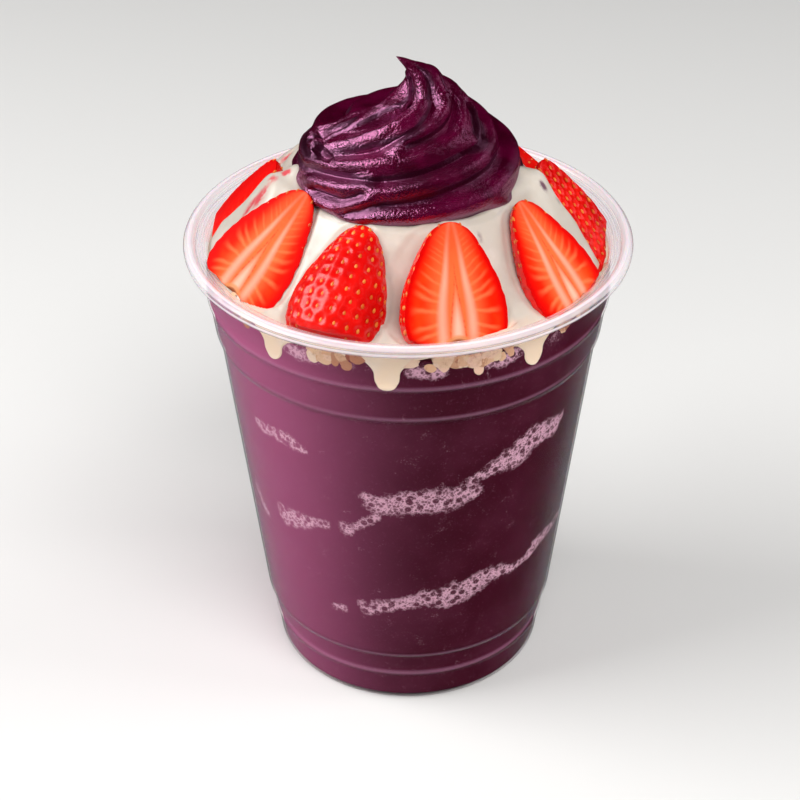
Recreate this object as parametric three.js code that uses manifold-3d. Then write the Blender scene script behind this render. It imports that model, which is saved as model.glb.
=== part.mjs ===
// A filled dessert cup: a clear tapered plastic cup of purple acai sorbet, topped with a
// granola layer, a mound of sweet cream, a ring of strawberry halves and a piped swirl.
// Millimetres, +Z up. The origin is the middle of the cup's foot, on the table.
// Azimuths are degrees from the front (-Y), growing towards +X.

import * as THREE from 'three';
import { mergeVertices } from 'three/addons/utils/BufferGeometryUtils.js';
import { ParametricGeometry } from 'three/addons/geometries/ParametricGeometry.js';
import Module from 'manifold-3d';

const wasm = await Module();
wasm.setup();

// ---------------------------------------------------------------- driving dimensions

const SEGMENTS = 38; // flats round the cup and everything that fills it
const GAP = 0.3; // clearance kept between neighbouring pieces
const ROOM = 0.45; // growth of a piece that is cut out of its neighbour, whose flats eat some

const CUP_HEIGHT = 105;
const WALL = 0.6;
// [height, radius] of the outer wall: foot, two low rings, cone, two high rings, neck
const WALL_STATIONS = [
  [1.2, 30.2], [7.6, 31.0], [8.6, 31.4], [9.6, 31.25], [13.4, 31.75], [15.2, 32.75],
  [82.9, 40.85], [84.4, 41.7], [91.2, 42.75], [92.8, 43.35], [94.6, 42.85], [102.2, 42.95],
];
const INSIDE_STATIONS = WALL_STATIONS.filter(([z]) => z > 12); // the inside is smooth below
const FOOT_RADIUS = 29.2; // outer edge of the flat ring that the cup stands on
const PANEL_RADIUS = 25.5; // raised middle of the base
const PANEL_HEIGHT = 1.6;
const LIP_RADIUS = 1.3; // the rolled lip is a round bead
const LIP_CENTRE_R = 46.2;
const LIP_TURN = 165; // the bead's section runs this far up and down from its outermost point
const LIP_STEPS = 7;
const FLANGE_HEIGHT = 103.4; // underside of the ledge between wall and lip

const ACAI_TOP = 97.5;
const GRANOLA_TOP = 99.9;
const GRANOLA_LUMPS = 20; // clusters that press against the wall
const CREAM_FOOT = GRANOLA_TOP + GAP;
// [radius, height] of the cream mound from its top to the wall
const CREAM_STATIONS = [
  [20.5, 117.4], [23.5, 116.6], [26.5, 113.6], [31, 108.2], [36, 103.8], [43, 101.9],
];

// Cream that has run down inside the wall: azimuth, lowest point, width of the tongue
const DRIPS = [
  { azimuth: -6.5, tip: 92.4, width: 7.4 },
  { azimuth: -40, tip: 93.6, width: 6.6 },
  { azimuth: 36, tip: 93.4, width: 6.6 },
  { azimuth: 158, tip: 95.4, width: 6.0 },
  { azimuth: -161, tip: 93.8, width: 6.8 },
];
const DRIP_THICKNESS = 0.9;
const DRIP_SPREAD = 1.9; // how many tongue widths the cream spreads over at its top

// Strawberry halves: azimuth of the middle, lean of the tip to larger azimuths, length,
// width, how far the cut face stands out, roll of the face to larger azimuths, slide up the
// mound and slope of the face; skin means that the cut face is inside, and veil that cream
// covers the face on that side of its middle
const BERRIES = [
  { azimuth: -59.4, lean: 3.4, length: 26.9, width: 19.0, proud: 0.4, roll: 27.5,
    slide: 1.5, slope: 47.4 },
  { azimuth: -23.6, lean: 3, length: 26.3, width: 20.5, proud: -2.9, skin: true },
  { azimuth: 14.8, lean: 4.2, length: 25.2, width: 23.8, proud: 3.2, roll: 15.5,
    slide: 0.2, slope: 57.8 },
  { azimuth: 55.4, lean: 3.8, length: 25.9, width: 19.0, proud: 0.8, roll: -7.6,
    slide: -1.1, slope: 49.0 },
  { azimuth: 83.5, lean: 6.0, length: 27.4, width: 20.5, proud: 3.2, roll: -12.0,
    slide: 0.5, slope: 56.2, veil: -1 },
  { azimuth: 132, lean: -4, length: 26.0, width: 21.5, proud: 0.2 },
  { azimuth: 173, lean: 5, length: 25.5, width: 20.0, proud: -2.8, skin: true },
  { azimuth: -142, lean: -6, length: 27.0, width: 22.0, proud: 0 },
  { azimuth: -87.6, lean: 2.3, length: 27.6, width: 21.8, proud: 3.1, roll: 3.8,
    slide: 0.6, slope: 54.2, veil: 1 },
];
// A half gives way to these others, which lie over it
const BERRIES_OVER = [[], [0, 2], [], [2], [3], [4], [5, 7], [8], [0]];
const VEIL_SIZE = [6.5, 12.5, 1.9]; // half sizes of the cream over a face
const BERRY_TIP_R = 25; // tip of a berry's cut face
const BERRY_TIP_Z = 119.7;
const BERRY_SLOPE = 49.5; // the usual slope of a cut face
const BERRY_DEPTH = 0.42; // thickness of a half over its width
// [share of the length from the tip, share of the half width] of a berry's outline
const BERRY_OUTLINE = [
  [0.02, 0.19], [0.11, 0.43], [0.34, 0.74], [0.6, 0.97], [0.78, 0.98], [0.92, 0.76], [1, 0.3],
];
const BERRY_SIDES = 12;

// The swirl: [radius, height, sideways shift] of the envelope that its ridges touch
const SWIRL_STATIONS = [
  [24.0, 118, 0], [24.1, 120.6, 0], [23.6, 122.8, 0], [22.2, 125.2, 0], [19.9, 128, -0.5],
  [17.6, 130.5, -0.8], [15.4, 132.6, -0.8], [12.4, 135, 0], [9.2, 137.3, 1.4],
  [6.2, 139.0, 2.4], [4.7, 140.6, 2.6], [3.5, 142.2, 2.0], [2.2, 143.5, 0.6],
  [1.0, 144.4, -1.0],
];
const SWIRL_TIP = [-2.4, 144.8];
const SWIRL_FLOOR = 117.9;
// Bottoms of the grooves between the ridges: [azimuth, height] along each
const GROOVES = [
  [[0, 117.4], [90, 117.4], [180, 117.4], [270, 117.4], [360, 117.4]],
  [[-31, 120.1], [-26, 121.3], [-22, 122.2], [-15, 123.2], [-5, 123.9], [5, 124.5], [16, 125.2],
    [27, 125.7], [41, 126.1], [53, 126.5], [65, 126.9], [77, 127.2], [88, 127.5], [130, 128.4],
    [180, 129.8], [230, 131.2], [262, 132.2]],
  [[-29, 121.4], [-26, 122.9], [-22, 123.7], [-16, 124.1], [-9, 124.2]],
  [[-56, 121.6], [-50, 122.0], [-42, 122.3], [-34, 122.8], [-29, 123.7], [-25, 124.6]],
  [[-150, 119.6], [-110, 122.3], [-90, 123.4], [-72, 124.4], [-63, 125.2], [-48, 126.2],
    [-38, 126.7], [-19, 127.2], [-7, 127.7], [4, 128.2], [16, 128.8], [31, 129.4], [44, 129.8],
    [55, 130.1], [66, 130.6], [76, 131.2], [84, 132.1], [120, 133.2], [180, 135.0],
    [230, 136.5], [258, 137.0]],
  [[60, 119.4], [93, 121.0], [130, 122.3], [180, 123.8], [230, 125.2], [270, 126.2],
    [288, 126.8], [299, 128.1], [309, 129.4], [320, 130.7], [330, 131.6], [340, 132.5],
    [350, 133.4], [360, 134.3], [370, 135.2], [379, 136.6], [386, 138.0], [390, 139.4],
    [392, 141.3], [400, 143.1]],
  [[60, 130.6], [62, 131.8], [71, 132.7], [81, 133.8], [92, 135.0]],
  [[4, 132.9], [14, 133.4], [27, 134.1], [42, 134.9], [54, 135.8], [64, 136.8], [72, 138.0],
    [77, 139.3], [84, 141.0]],
  [[-82, 128.2], [-82, 129.7], [-74, 131.9], [-68, 133.5]],
  [[-70, 127.6], [-72, 129.2], [-70, 131.0], [-64, 132.6], [-54, 133.8], [-50, 134.8],
    [-46, 135.7], [-36, 136.5], [-26, 137.3], [-22, 138.0], [-23, 138.8], [-42, 140.1],
    [-76, 141.8]],
];
const ROUNDNESS = 0.72; // depth of a groove over half the width of the ridge beside it
const DEEPEST = 2.6;
const SCOOP = { groove: 9, depth: 2.2, width: 5 }; // a wide hollow above the top ridge
// The hollow beside the tip, behind on the left: its middle, its half sizes and its extra depth
const SADDLE = { azimuth: 245, height: 135.5, turn: 95, rise: 7, depth: 2.8 };
const SWIRL_SLICES = 44;
const SWIRL_STACKS = 36;

// ---------------------------------------------------------------- helpers

const rad = THREE.MathUtils.degToRad;
const clamp = THREE.MathUtils.clamp;

/** Piecewise straight interpolation in rows whose first column grows. */
function between(rows, x, column = 1) {
  const last = rows.length - 1;
  if (x <= rows[0][0]) return rows[0][column];
  if (x >= rows[last][0]) return rows[last][column];
  const i = rows.findIndex((row) => row[0] > x);
  const share = (x - rows[i - 1][0]) / (rows[i][0] - rows[i - 1][0]);
  return THREE.MathUtils.lerp(rows[i - 1][column], rows[i][column], share);
}

/** A closed three.js geometry as a solid, with its faces pointing out. */
function solid(geometry) {
  const bare = geometry.clone();
  bare.deleteAttribute('normal');
  bare.deleteAttribute('uv');
  const merged = mergeVertices(bare, 1e-4);
  const index = [];
  for (let i = 0; i < merged.index.count; i += 3) {
    const [a, b, c] = [0, 1, 2].map((k) => merged.index.getX(i + k));
    if (a !== b && b !== c && c !== a) index.push(a, b, c);
  }
  const vertProperties = new Float32Array(merged.attributes.position.array);
  const make = (list) => new wasm.Manifold(
    new wasm.Mesh({ numProp: 3, vertProperties, triVerts: new Uint32Array(list) }));
  const body = make(index);
  return body.volume() > 0 ? body : make(index.reverse());
}

/** A solid as a three.js geometry. */
function geometryOf(body) {
  const { vertProperties, triVerts, numProp } = body.getMesh();
  const geometry = new THREE.BufferGeometry();
  const count = vertProperties.length / numProp;
  const position = new Float32Array(count * 3);
  for (let i = 0; i < count; i += 1) {
    for (let k = 0; k < 3; k += 1) position[i * 3 + k] = vertProperties[i * numProp + k];
  }
  geometry.setAttribute('position', new THREE.BufferAttribute(position, 3));
  geometry.setIndex(new THREE.BufferAttribute(new Uint32Array(triVerts), 1));
  return geometry;
}

/** The largest of a solid's separate bodies: loose scraps from a cut are dropped. */
function largest(body) {
  return body.decompose().sort((a, b) => b.volume() - a.volume())[0];
}

/** Turns a closed [radius, height] outline round the Z axis. */
function turned(outline) {
  const points = outline.map(([r, z]) => new THREE.Vector2(Math.max(r, 0), z));
  if (points[0].x > 0) points.push(points[0].clone());
  return new THREE.LatheGeometry(points, SEGMENTS).rotateX(Math.PI / 2);
}

/** A point given by radius, azimuth and height. */
function polar(radius, azimuth, height) {
  const a = rad(azimuth);
  return new THREE.Vector3(radius * Math.sin(a), -radius * Math.cos(a), height);
}

// ---------------------------------------------------------------- cup

/** Radius of the cup's inside at a height, less a clearance. */
function insideRadius(height, clearance = 0) {
  return between(WALL_STATIONS, height) - WALL - clearance;
}

function makeCup() {
  const outside = WALL_STATIONS.map(([z, r]) => [r, z]);
  const inside = INSIDE_STATIONS.map(([z, r]) => [r - WALL, z]).reverse();
  const lip = [];
  const lipCentre = CUP_HEIGHT - LIP_RADIUS;
  for (let i = 0; i <= LIP_STEPS; i += 1) {
    const angle = THREE.MathUtils.lerp(-LIP_TURN, LIP_TURN, i / LIP_STEPS);
    lip.push([
      LIP_CENTRE_R + LIP_RADIUS * Math.cos(rad(angle)),
      lipCentre + LIP_RADIUS * Math.sin(rad(angle)),
    ]);
  }
  const [, neck] = WALL_STATIONS[WALL_STATIONS.length - 1];
  return turned([
    [0, PANEL_HEIGHT], [PANEL_RADIUS, PANEL_HEIGHT], [PANEL_RADIUS + 0.8, 0], [FOOT_RADIUS, 0],
    [FOOT_RADIUS + 0.8, 0.4],
    ...outside,
    [neck + 0.5, FLANGE_HEIGHT - 0.3], [neck + 1.3, FLANGE_HEIGHT],
    ...lip,
    [neck + 0.9, FLANGE_HEIGHT + WALL], [neck, FLANGE_HEIGHT + 0.3],
    ...inside,
    [FOOT_RADIUS + 0.3, 2.4], [FOOT_RADIUS - 0.4, WALL], [PANEL_RADIUS + 1.2, WALL],
    [PANEL_RADIUS + 0.4, PANEL_HEIGHT + WALL], [0, PANEL_HEIGHT + WALL],
  ]);
}

/** All that fits inside the cup between two heights, clear of its wall and base. */
function cavity(low, high, clearance) {
  const wall = INSIDE_STATIONS.filter(([z]) => z > low && z < high);
  return solid(turned([
    [0, low], [insideRadius(low, clearance), low],
    ...wall.map(([z, r]) => [r - WALL - clearance, z]),
    [insideRadius(high, clearance), high], [0, high],
  ]));
}

// ---------------------------------------------------------------- strawberries

/** A half strawberry lying on the mound, grown on all sides by a clearance; or a whole one. */
function berrySolid(berry, grow = 0, uncut = false) {
  const { length, width, skin } = berry;
  const outline = BERRY_OUTLINE.map(([t, w]) => new THREE.Vector2(w * width * 0.5, -t * length));
  outline.unshift(new THREE.Vector2(0, 0));
  outline.push(new THREE.Vector2(0, -length * 0.975));
  const whole = new THREE.LatheGeometry(outline, BERRY_SIDES);
  const [grownX, grownY] = [1 + (2 * grow) / width, 1 + (2 * grow) / length];
  const depth = 2 * BERRY_DEPTH;
  whole.translate(0, length / 2, 0).scale(grownX, grownY, depth * grownX);
  whole.translate(0, -length / 2, 0);
  if (uncut) return solid(placed(whole, berry));
  // The half that is kept is behind the cut, in local -Z; a skin half faces the other way.
  const side = skin ? 1 : -1;
  const keep = new THREE.BoxGeometry(60, 80, 30).translate(0, -10, side * (15 - grow));
  const half = geometryOf(solid(whole).intersect(solid(keep)));
  return solid(placed(half, berry));
}

/** Lays a shape on the mound: local +Y runs to the berry's tip, +Z the way the cut faces. */
function placed(shape, { azimuth, lean, length, proud, roll = 0, slide = 0, slope = BERRY_SLOPE }) {
  const tilt = rad(slope);
  const tip = polar(BERRY_TIP_R + proud * Math.sin(tilt), 0, BERRY_TIP_Z + proud * Math.cos(tilt));
  const middle = length * 0.6; // the lean turns the half about its widest place
  shape.rotateY(rad(roll));
  shape.translate(0, middle, 0).rotateZ(rad(-lean)).translate(0, slide - middle, 0);
  return shape.rotateX(tilt).translate(tip.x, tip.y, tip.z).rotateZ(rad(azimuth));
}

/** The cream that has run over one side of a cut face. */
function veilSolid(berry) {
  const [across, along, thick] = VEIL_SIZE;
  const veil = new THREE.SphereGeometry(1, 10, 6).scale(across, along, thick);
  return solid(placed(veil.translate(across * berry.veil, -0.42 * berry.length, 0), berry));
}

// ---------------------------------------------------------------- cream, granola and acai

/** The drips as a thin skin inside the wall, grown on all sides by a clearance. */
function dripSolid({ azimuth, tip, width }, grow = 0) {
  const half = width / 2 + grow;
  const top = CREAM_FOOT + 1.2;
  const spread = half * DRIP_SPREAD;
  const outline = new THREE.Shape();
  outline.moveTo(-spread, top);
  outline.quadraticCurveTo(-half, top - 2.4, -half, tip + half);
  outline.absarc(0, tip - grow + half, half, Math.PI, 2 * Math.PI, false);
  outline.quadraticCurveTo(half, top - 2.4, spread, top);
  const reach = 12;
  const prism = new THREE.ExtrudeGeometry(outline, {
    depth: reach, bevelEnabled: false, curveSegments: 3, steps: 1,
  });
  prism.rotateX(Math.PI / 2).translate(0, -insideRadius(top) + reach - 2, 0).rotateZ(rad(azimuth));
  const outer = cavity(tip - 2, top + 1, GAP - grow);
  const inner = cavity(tip - 3, top + 2, GAP + DRIP_THICKNESS + grow);
  return solid(prism).intersect(outer.subtract(inner));
}

function makeCream(berries, drips) {
  const mound = turned([
    [0, CREAM_FOOT], [43, CREAM_FOOT], ...CREAM_STATIONS.slice().reverse(),
    [0, CREAM_STATIONS[0][1]],
  ]);
  let cream = solid(mound).intersect(cavity(90, 121, GAP));
  drips.forEach((drip) => { cream = cream.add(drip); });
  BERRIES.filter((berry) => berry.veil).forEach((berry) => {
    cream = cream.add(veilSolid(berry).intersect(cavity(90, 125, GAP)));
  });
  berries.forEach((berry) => { cream = cream.subtract(berry); });
  return largest(cream);
}

/** Clusters of toasted oats: a lumpy disc whose clusters press against the wall. */
function granolaSolid(grow = 0) {
  let layer = cavity(ACAI_TOP + GAP - grow, GRANOLA_TOP + grow, GAP - grow);
  for (let i = 0; i < GRANOLA_LUMPS; i += 1) {
    const size = 2.4 + 1.2 * Math.abs(Math.sin(i * 2.3)) + 1.3 * grow;
    const azimuth = (i + 0.35 * Math.sin(i * 5.1)) * (360 / GRANOLA_LUMPS);
    const drop = 0.8 * Math.sin(i * 3.7);
    const centre = polar(41.4, azimuth, ACAI_TOP + 0.4 + drop);
    const lump = new THREE.IcosahedronGeometry(size, 0).scale(1.3, 1.3, 0.8);
    lump.rotateX(i).rotateZ(rad(azimuth)).translate(centre.x, centre.y, centre.z);
    layer = layer.add(solid(lump));
  }
  return layer.intersect(cavity(90, GRANOLA_TOP + grow, GAP - grow));
}

function makeAcai() {
  const floor = PANEL_HEIGHT + WALL + GAP;
  const wall = INSIDE_STATIONS.filter(([z]) => z < ACAI_TOP);
  return solid(turned([
    [0, floor], [PANEL_RADIUS + 0.7, floor], [PANEL_RADIUS + 1.6, WALL + GAP + 0.1],
    [FOOT_RADIUS - 0.8, WALL + GAP + 0.1], [FOOT_RADIUS - 0.1, 2.4],
    ...wall.map(([z, r]) => [r - WALL - GAP, z]),
    [insideRadius(ACAI_TOP, GAP), ACAI_TOP], [0, ACAI_TOP],
  ]));
}

// ---------------------------------------------------------------- swirl

const swirlRows = SWIRL_STATIONS.map(([r, z, shift]) => [z, r, shift]);
const swirlRadius = (z) => between(swirlRows, z, 1);
const swirlShift = (z) => between(swirlRows, z, 2);
const swirlTop = SWIRL_STATIONS[SWIRL_STATIONS.length - 1][1];

const onDome = (azimuth, height) => polar(swirlRadius(height), azimuth, height);

/** A groove as a chain of short lines on the plain dome. */
function linesOf(groove) {
  const points = [];
  groove.slice(1).forEach(([a1, z1], i) => {
    const [a0, z0] = groove[i];
    const steps = Math.ceil(Math.abs(a1 - a0) / 6 + Math.abs(z1 - z0) / 2);
    for (let k = 0; k < steps; k += 1) {
      const t = k / steps;
      points.push(onDome(THREE.MathUtils.lerp(a0, a1, t), THREE.MathUtils.lerp(z0, z1, t)));
    }
  });
  points.push(onDome(...groove[groove.length - 1]));
  return points.slice(1).map((point, i) => new THREE.Line3(points[i], point));
}
const grooveLines = GROOVES.map(linesOf);

/** How far the swirl's skin lies inside the plain dome at an azimuth and a height. */
function depthAt(azimuth, height) {
  const point = onDome(azimuth, height);
  const nearest = new THREE.Vector3();
  let scoop = 0;
  const away = grooveLines.map((lines, i) => {
    let best = Infinity;
    let above = 0;
    lines.forEach((line) => {
      line.closestPointToPoint(point, true, nearest);
      const distance = nearest.distanceTo(point);
      if (distance < best) [best, above] = [distance, point.z - nearest.z];
    });
    if (i === SCOOP.groove && above > 0) {
      scoop = SCOOP.depth * Math.exp(-((best / SCOOP.width) ** 2));
    }
    return best;
  }).sort((a, b) => a - b);
  // Between two grooves the skin is round: deep beside the nearer one, not at all half way.
  const width = Math.max((away[0] + away[1]) / 2, 0.3);
  const side = clamp(away[0] / width, 0, 1);
  const taper = clamp((swirlTop + 1.5 - height) / 9, 0.15, 1);
  const depth = Math.min(ROUNDNESS * width, DEEPEST) * taper * (1 - Math.sqrt(1 - (1 - side) ** 2));
  const turn = Math.abs(((azimuth - SADDLE.azimuth + 540) % 360) - 180) / SADDLE.turn;
  const rise = Math.abs(height - SADDLE.height) / SADDLE.rise;
  const hollow = (1 - Math.min(turn, 1) ** 2) * (1 - Math.min(rise, 1) ** 2);
  return depth + Math.max(SADDLE.depth * hollow, scoop);
}

function makeSwirl() {
  const profile = new THREE.CatmullRomCurve3(
    SWIRL_STATIONS.map(([r, z, shift]) => new THREE.Vector3(r, z, shift)));
  const floorShare = 0.06; // share of the rows that cover the flat underside
  return new ParametricGeometry((u, v, target) => {
    const azimuth = u * 360;
    if (v < floorShare) {
      const share = v / floorShare;
      target.copy(polar(share * (swirlRadius(0) - 0.6), azimuth, SWIRL_FLOOR));
      return;
    }
    if (v > 0.999) {
      target.set(SWIRL_TIP[0], 0, SWIRL_TIP[1]);
      return;
    }
    const share = (v - floorShare) / (1 - floorShare);
    const { x: radius, y: height, z: shift } = profile.getPointAt(share);
    const tangent = profile.getTangentAt(share);
    const slope = Math.hypot(tangent.x, tangent.y);
    const depth = depthAt(azimuth, height);
    const out = radius - (depth * tangent.y) / slope;
    target.copy(polar(Math.max(out, 0.3), azimuth, height + (depth * tangent.x) / slope));
    target.x += shift;
  }, SWIRL_SLICES, SWIRL_STACKS);
}

// ---------------------------------------------------------------- assembly

const finishes = {
  plastic: new THREE.MeshStandardMaterial({ color: 0xece2e8, roughness: 0.18, metalness: 0 }),
  acai: new THREE.MeshStandardMaterial({ color: 0x5a2a4b, roughness: 0.45, metalness: 0 }),
  swirl: new THREE.MeshStandardMaterial({ color: 0x4b1136, roughness: 0.25, metalness: 0 }),
  cream: new THREE.MeshStandardMaterial({ color: 0xeddec8, roughness: 0.35, metalness: 0 }),
  granola: new THREE.MeshStandardMaterial({ color: 0xbb8a60, roughness: 0.8, metalness: 0 }),
  berry: new THREE.MeshStandardMaterial({ color: 0xd8241a, roughness: 0.3, metalness: 0 }),
};

const object = new THREE.Group();

function addPiece(name, geometry, finish) {
  const mesh = new THREE.Mesh(geometry, finishes[finish]);
  mesh.name = name;
  object.add(mesh);
}

const insideCup = cavity(CREAM_FOOT + 0.1, 125, GAP);
const berryRooms = BERRIES.map((berry) => berrySolid(berry, ROOM));
// The space over an open cut face stays free of cream and of other halves.
const openRooms = BERRIES.map(
  (berry, i) => (berry.skin || berry.veil ? berryRooms[i] : berrySolid(berry, ROOM, true)));
const swirlRoom = solid(turned([[0, 117], [24.5, 117], [24.5, 124], [0, 124]]));
const berries = BERRIES.map((berry, i) => {
  let body = berrySolid(berry).intersect(insideCup).subtract(swirlRoom);
  BERRIES_OVER[i].forEach((k) => { body = body.subtract(openRooms[k]); });
  return largest(body);
});
const drips = DRIPS.map((drip) => dripSolid(drip));

let granola = granolaSolid();
let acai = makeAcai().subtract(granolaSolid(ROOM));
DRIPS.forEach((drip) => {
  const room = dripSolid(drip, ROOM);
  granola = granola.subtract(room);
  acai = acai.subtract(room);
});

addPiece('cup', makeCup(), 'plastic');
addPiece('acai', geometryOf(largest(acai)), 'acai');
addPiece('granola', geometryOf(largest(granola)), 'granola');
addPiece('cream', geometryOf(makeCream(openRooms, drips)), 'cream');
addPiece('swirl', geometryOf(solid(makeSwirl())), 'swirl');
berries.forEach((berry, i) => {
  addPiece(`strawberry_${i + 1}`, geometryOf(berry), 'berry');
});

export default object;
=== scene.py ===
# %% [markdown]
# # A filled acai cup
# A clear takeaway cup of purple acai sorbet. On the sorbet lie toasted granola, a mound of
# thick sweet cream that runs down inside the wall, nine strawberry halves and a piped swirl.
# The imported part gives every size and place. This script dresses it: each soft or shiny piece
# is modelled again with fine detail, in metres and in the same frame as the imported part.

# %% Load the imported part
import math
import random

import bpy
import numpy as np
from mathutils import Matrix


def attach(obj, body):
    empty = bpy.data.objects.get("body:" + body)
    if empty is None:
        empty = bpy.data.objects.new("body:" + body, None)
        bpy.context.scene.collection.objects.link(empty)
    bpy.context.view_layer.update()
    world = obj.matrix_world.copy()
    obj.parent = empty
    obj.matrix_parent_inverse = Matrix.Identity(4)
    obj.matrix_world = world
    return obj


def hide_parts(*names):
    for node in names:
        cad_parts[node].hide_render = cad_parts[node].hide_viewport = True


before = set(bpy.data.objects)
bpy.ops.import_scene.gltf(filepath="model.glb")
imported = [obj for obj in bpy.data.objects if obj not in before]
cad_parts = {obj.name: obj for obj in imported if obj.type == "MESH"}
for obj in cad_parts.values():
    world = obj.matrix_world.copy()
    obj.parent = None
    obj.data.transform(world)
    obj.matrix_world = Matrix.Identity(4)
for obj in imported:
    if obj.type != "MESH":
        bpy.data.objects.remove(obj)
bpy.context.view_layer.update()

print("packed pieces:", sorted(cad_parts))

# %% [markdown]
# ## Working by hand
# Every operator acts on what is selected, so a small helper makes one piece the only selected
# one. Sizes are written in millimetres, as a maker would, and turned into metres in one place.
# Azimuth is in degrees from the front, growing to the right, as seen from above.

# %% Helpers for single pieces
MM = 0.001
MERGE = 1e-6


def pick(piece):
    """Makes piece the active object and the only selected one."""
    bpy.ops.object.select_all(action="DESELECT")
    piece.select_set(True)
    bpy.context.view_layer.objects.active = piece


def clean(piece):
    """Closes seams and poles, and turns all faces outwards."""
    pick(piece)
    bpy.ops.object.mode_set(mode="EDIT")
    bpy.ops.mesh.select_all(action="SELECT")
    bpy.ops.mesh.remove_doubles(threshold=MERGE)
    bpy.ops.mesh.dissolve_degenerate(threshold=MERGE)
    bpy.ops.mesh.normals_make_consistent(inside=False)
    bpy.ops.object.mode_set(mode="OBJECT")


def soften(piece, angle):
    """Smooth shading, with edges sharper than angle kept crisp."""
    pick(piece)
    bpy.ops.object.shade_smooth_by_angle(angle=math.radians(angle))
    print(piece.name + ":", len(piece.data.polygons), "faces")


def join(pieces, name):
    """Joins several pieces into the first one."""
    pick(pieces[0])
    for piece in pieces[1:]:
        piece.select_set(True)
    bpy.ops.object.join()
    pieces[0].name = name
    return pieces[0]


def points_of(piece):
    """The piece's points in millimetres, one row each."""
    flat = np.empty(len(piece.data.vertices) * 3)
    piece.data.vertices.foreach_get("co", flat)
    return flat.reshape(-1, 3) / MM


def place_points(piece, points):
    """Puts the piece's points at these places, in millimetres."""
    piece.data.vertices.foreach_set("co", (np.asarray(points) * MM).ravel())
    piece.data.update()


def paint(piece, name, values):
    """Stores one number, or one vector, per point for a material to read."""
    values = np.asarray(values, float)
    kind, field = ("FLOAT", "value") if values.ndim == 1 else ("FLOAT_VECTOR", "vector")
    layer = piece.data.attributes.new(name, kind, "POINT")
    layer.data.foreach_set(field, values.ravel())


# %% [markdown]
# ## Two ways to start a piece
# A turned piece, such as the cup, begins as one point. It is extruded along the section and
# then spun round the middle. A shape that no primitive comes near, such as a ridged swirl,
# begins as a fine grid whose points are then laid over a surface given by two directions.

# %% Turned and laid pieces
BITS = 4  # points round each rounded corner of a section


def turned(name, section, steps):
    """Spins a section of (radius, height) points into a closed piece of revolution."""
    bpy.ops.mesh.primitive_plane_add(size=MM)
    piece = bpy.context.object
    piece.name = name
    bpy.ops.object.mode_set(mode="EDIT")
    bpy.ops.mesh.merge(type="CENTER")
    here = np.zeros(3)
    for i, (radius, height) in enumerate(section):
        target = np.array([0.0, -radius, height]) * MM
        step = tuple(target - here)
        if i == 0:
            bpy.ops.transform.translate(value=step)
        else:
            bpy.ops.mesh.extrude_vertices_move(TRANSFORM_OT_translate={"value": step})
        here = target
    bpy.ops.mesh.select_all(action="SELECT")
    bpy.ops.mesh.spin(steps=steps, angle=2 * math.pi, center=(0, 0, 0), axis=(0, 0, 1))
    bpy.ops.object.mode_set(mode="OBJECT")
    clean(piece)
    return piece


def laid(name, columns, rows, surface):
    """A grid laid over surface(u, v), where u and v run from 0 to 1, in millimetres."""
    bpy.ops.mesh.primitive_grid_add(x_subdivisions=columns, y_subdivisions=rows, size=1)
    piece = bpy.context.object
    piece.name = name
    start = points_of(piece) * MM + 0.5
    place_points(piece, np.stack(surface(start[:, 0], start[:, 1]), axis=1))
    clean(piece)
    return piece


def rounded(corners, radius):
    """A section whose corners are rounded off, as moulded plastic and soft food are."""
    corners = [np.array(c, float) for c in corners]
    out = [corners[0]]
    for before, corner, after in zip(corners, corners[1:], corners[2:]):
        back, on = before - corner, after - corner
        reach = min(radius, 0.45 * np.linalg.norm(back), 0.45 * np.linalg.norm(on))
        start = corner + back / np.linalg.norm(back) * reach
        end = corner + on / np.linalg.norm(on) * reach
        for t in np.linspace(0, 1, BITS):
            out.append((1 - t) ** 2 * start + 2 * t * (1 - t) * corner + t ** 2 * end)
    return out + [corners[-1]]


def polar(radius, azimuth, height):
    """x, y and z of a point given by radius, azimuth in degrees and height."""
    a = np.radians(azimuth)
    return radius * np.sin(a), -radius * np.cos(a), height + 0 * radius * a


def rotated(points, axis, angle):
    """Points turned about axis 0, 1 or 2 through the origin, by an angle in radians."""
    a, b = [i for i in range(3) if i != axis]
    out = np.array(points, float)
    out[:, a] = points[:, a] * math.cos(angle) - points[:, b] * math.sin(angle)
    out[:, b] = points[:, a] * math.sin(angle) + points[:, b] * math.cos(angle)
    return out


# %% [markdown]
# ## Noise that is the same on every run
# Food is never smooth. A few waves in seeded random directions add up to a soft noise that
# needs no texture, so it can move the points of a mesh and not only its shading.

# %% A soft noise for shapes
def waves(points, size, seed, count=18):
    """A smooth noise from about -1 to 1, with lumps about size millimetres apart."""
    dice = np.random.default_rng(seed)
    total = np.zeros(len(points))
    for _ in range(count):
        direction = dice.normal(size=3)
        direction *= dice.uniform(0.7, 1.5) / np.linalg.norm(direction)
        total += np.sin(points @ direction * (2 * math.pi / size / 2) + dice.uniform(0, 6.28))
    return total / math.sqrt(count / 2) / 2


def smooth_step(low, high, value):
    """0 below low, 1 above high and a soft rise between them."""
    t = np.clip((value - low) / (high - low), 0, 1)
    return t * t * (3 - 2 * t)


def kept_below(value, limit, soft):
    """value, eased over the last stretch of length soft so that it never passes limit."""
    over = np.maximum(value - (limit - soft), 0)
    return np.where(over > 0, limit - soft * np.exp(-over / soft), value)


def within(points, limit, soft):
    """Presses points in so that none passes a radius, softly enough to fold nothing."""
    radius = np.hypot(points[:, 0], points[:, 1])
    points[:, :2] *= (kept_below(radius, limit, soft) / radius)[:, None]


def lower_of(a, b, soft=0.4):
    """The lower of two heights, with a soft change from one to the other."""
    return np.minimum(a, b) - soft * np.log1p(np.exp(-np.abs(a - b) / soft))


def higher_of(a, b, soft=0.5):
    """The higher of two heights, with a soft change from one to the other."""
    return -lower_of(-a, -b, soft)


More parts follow.
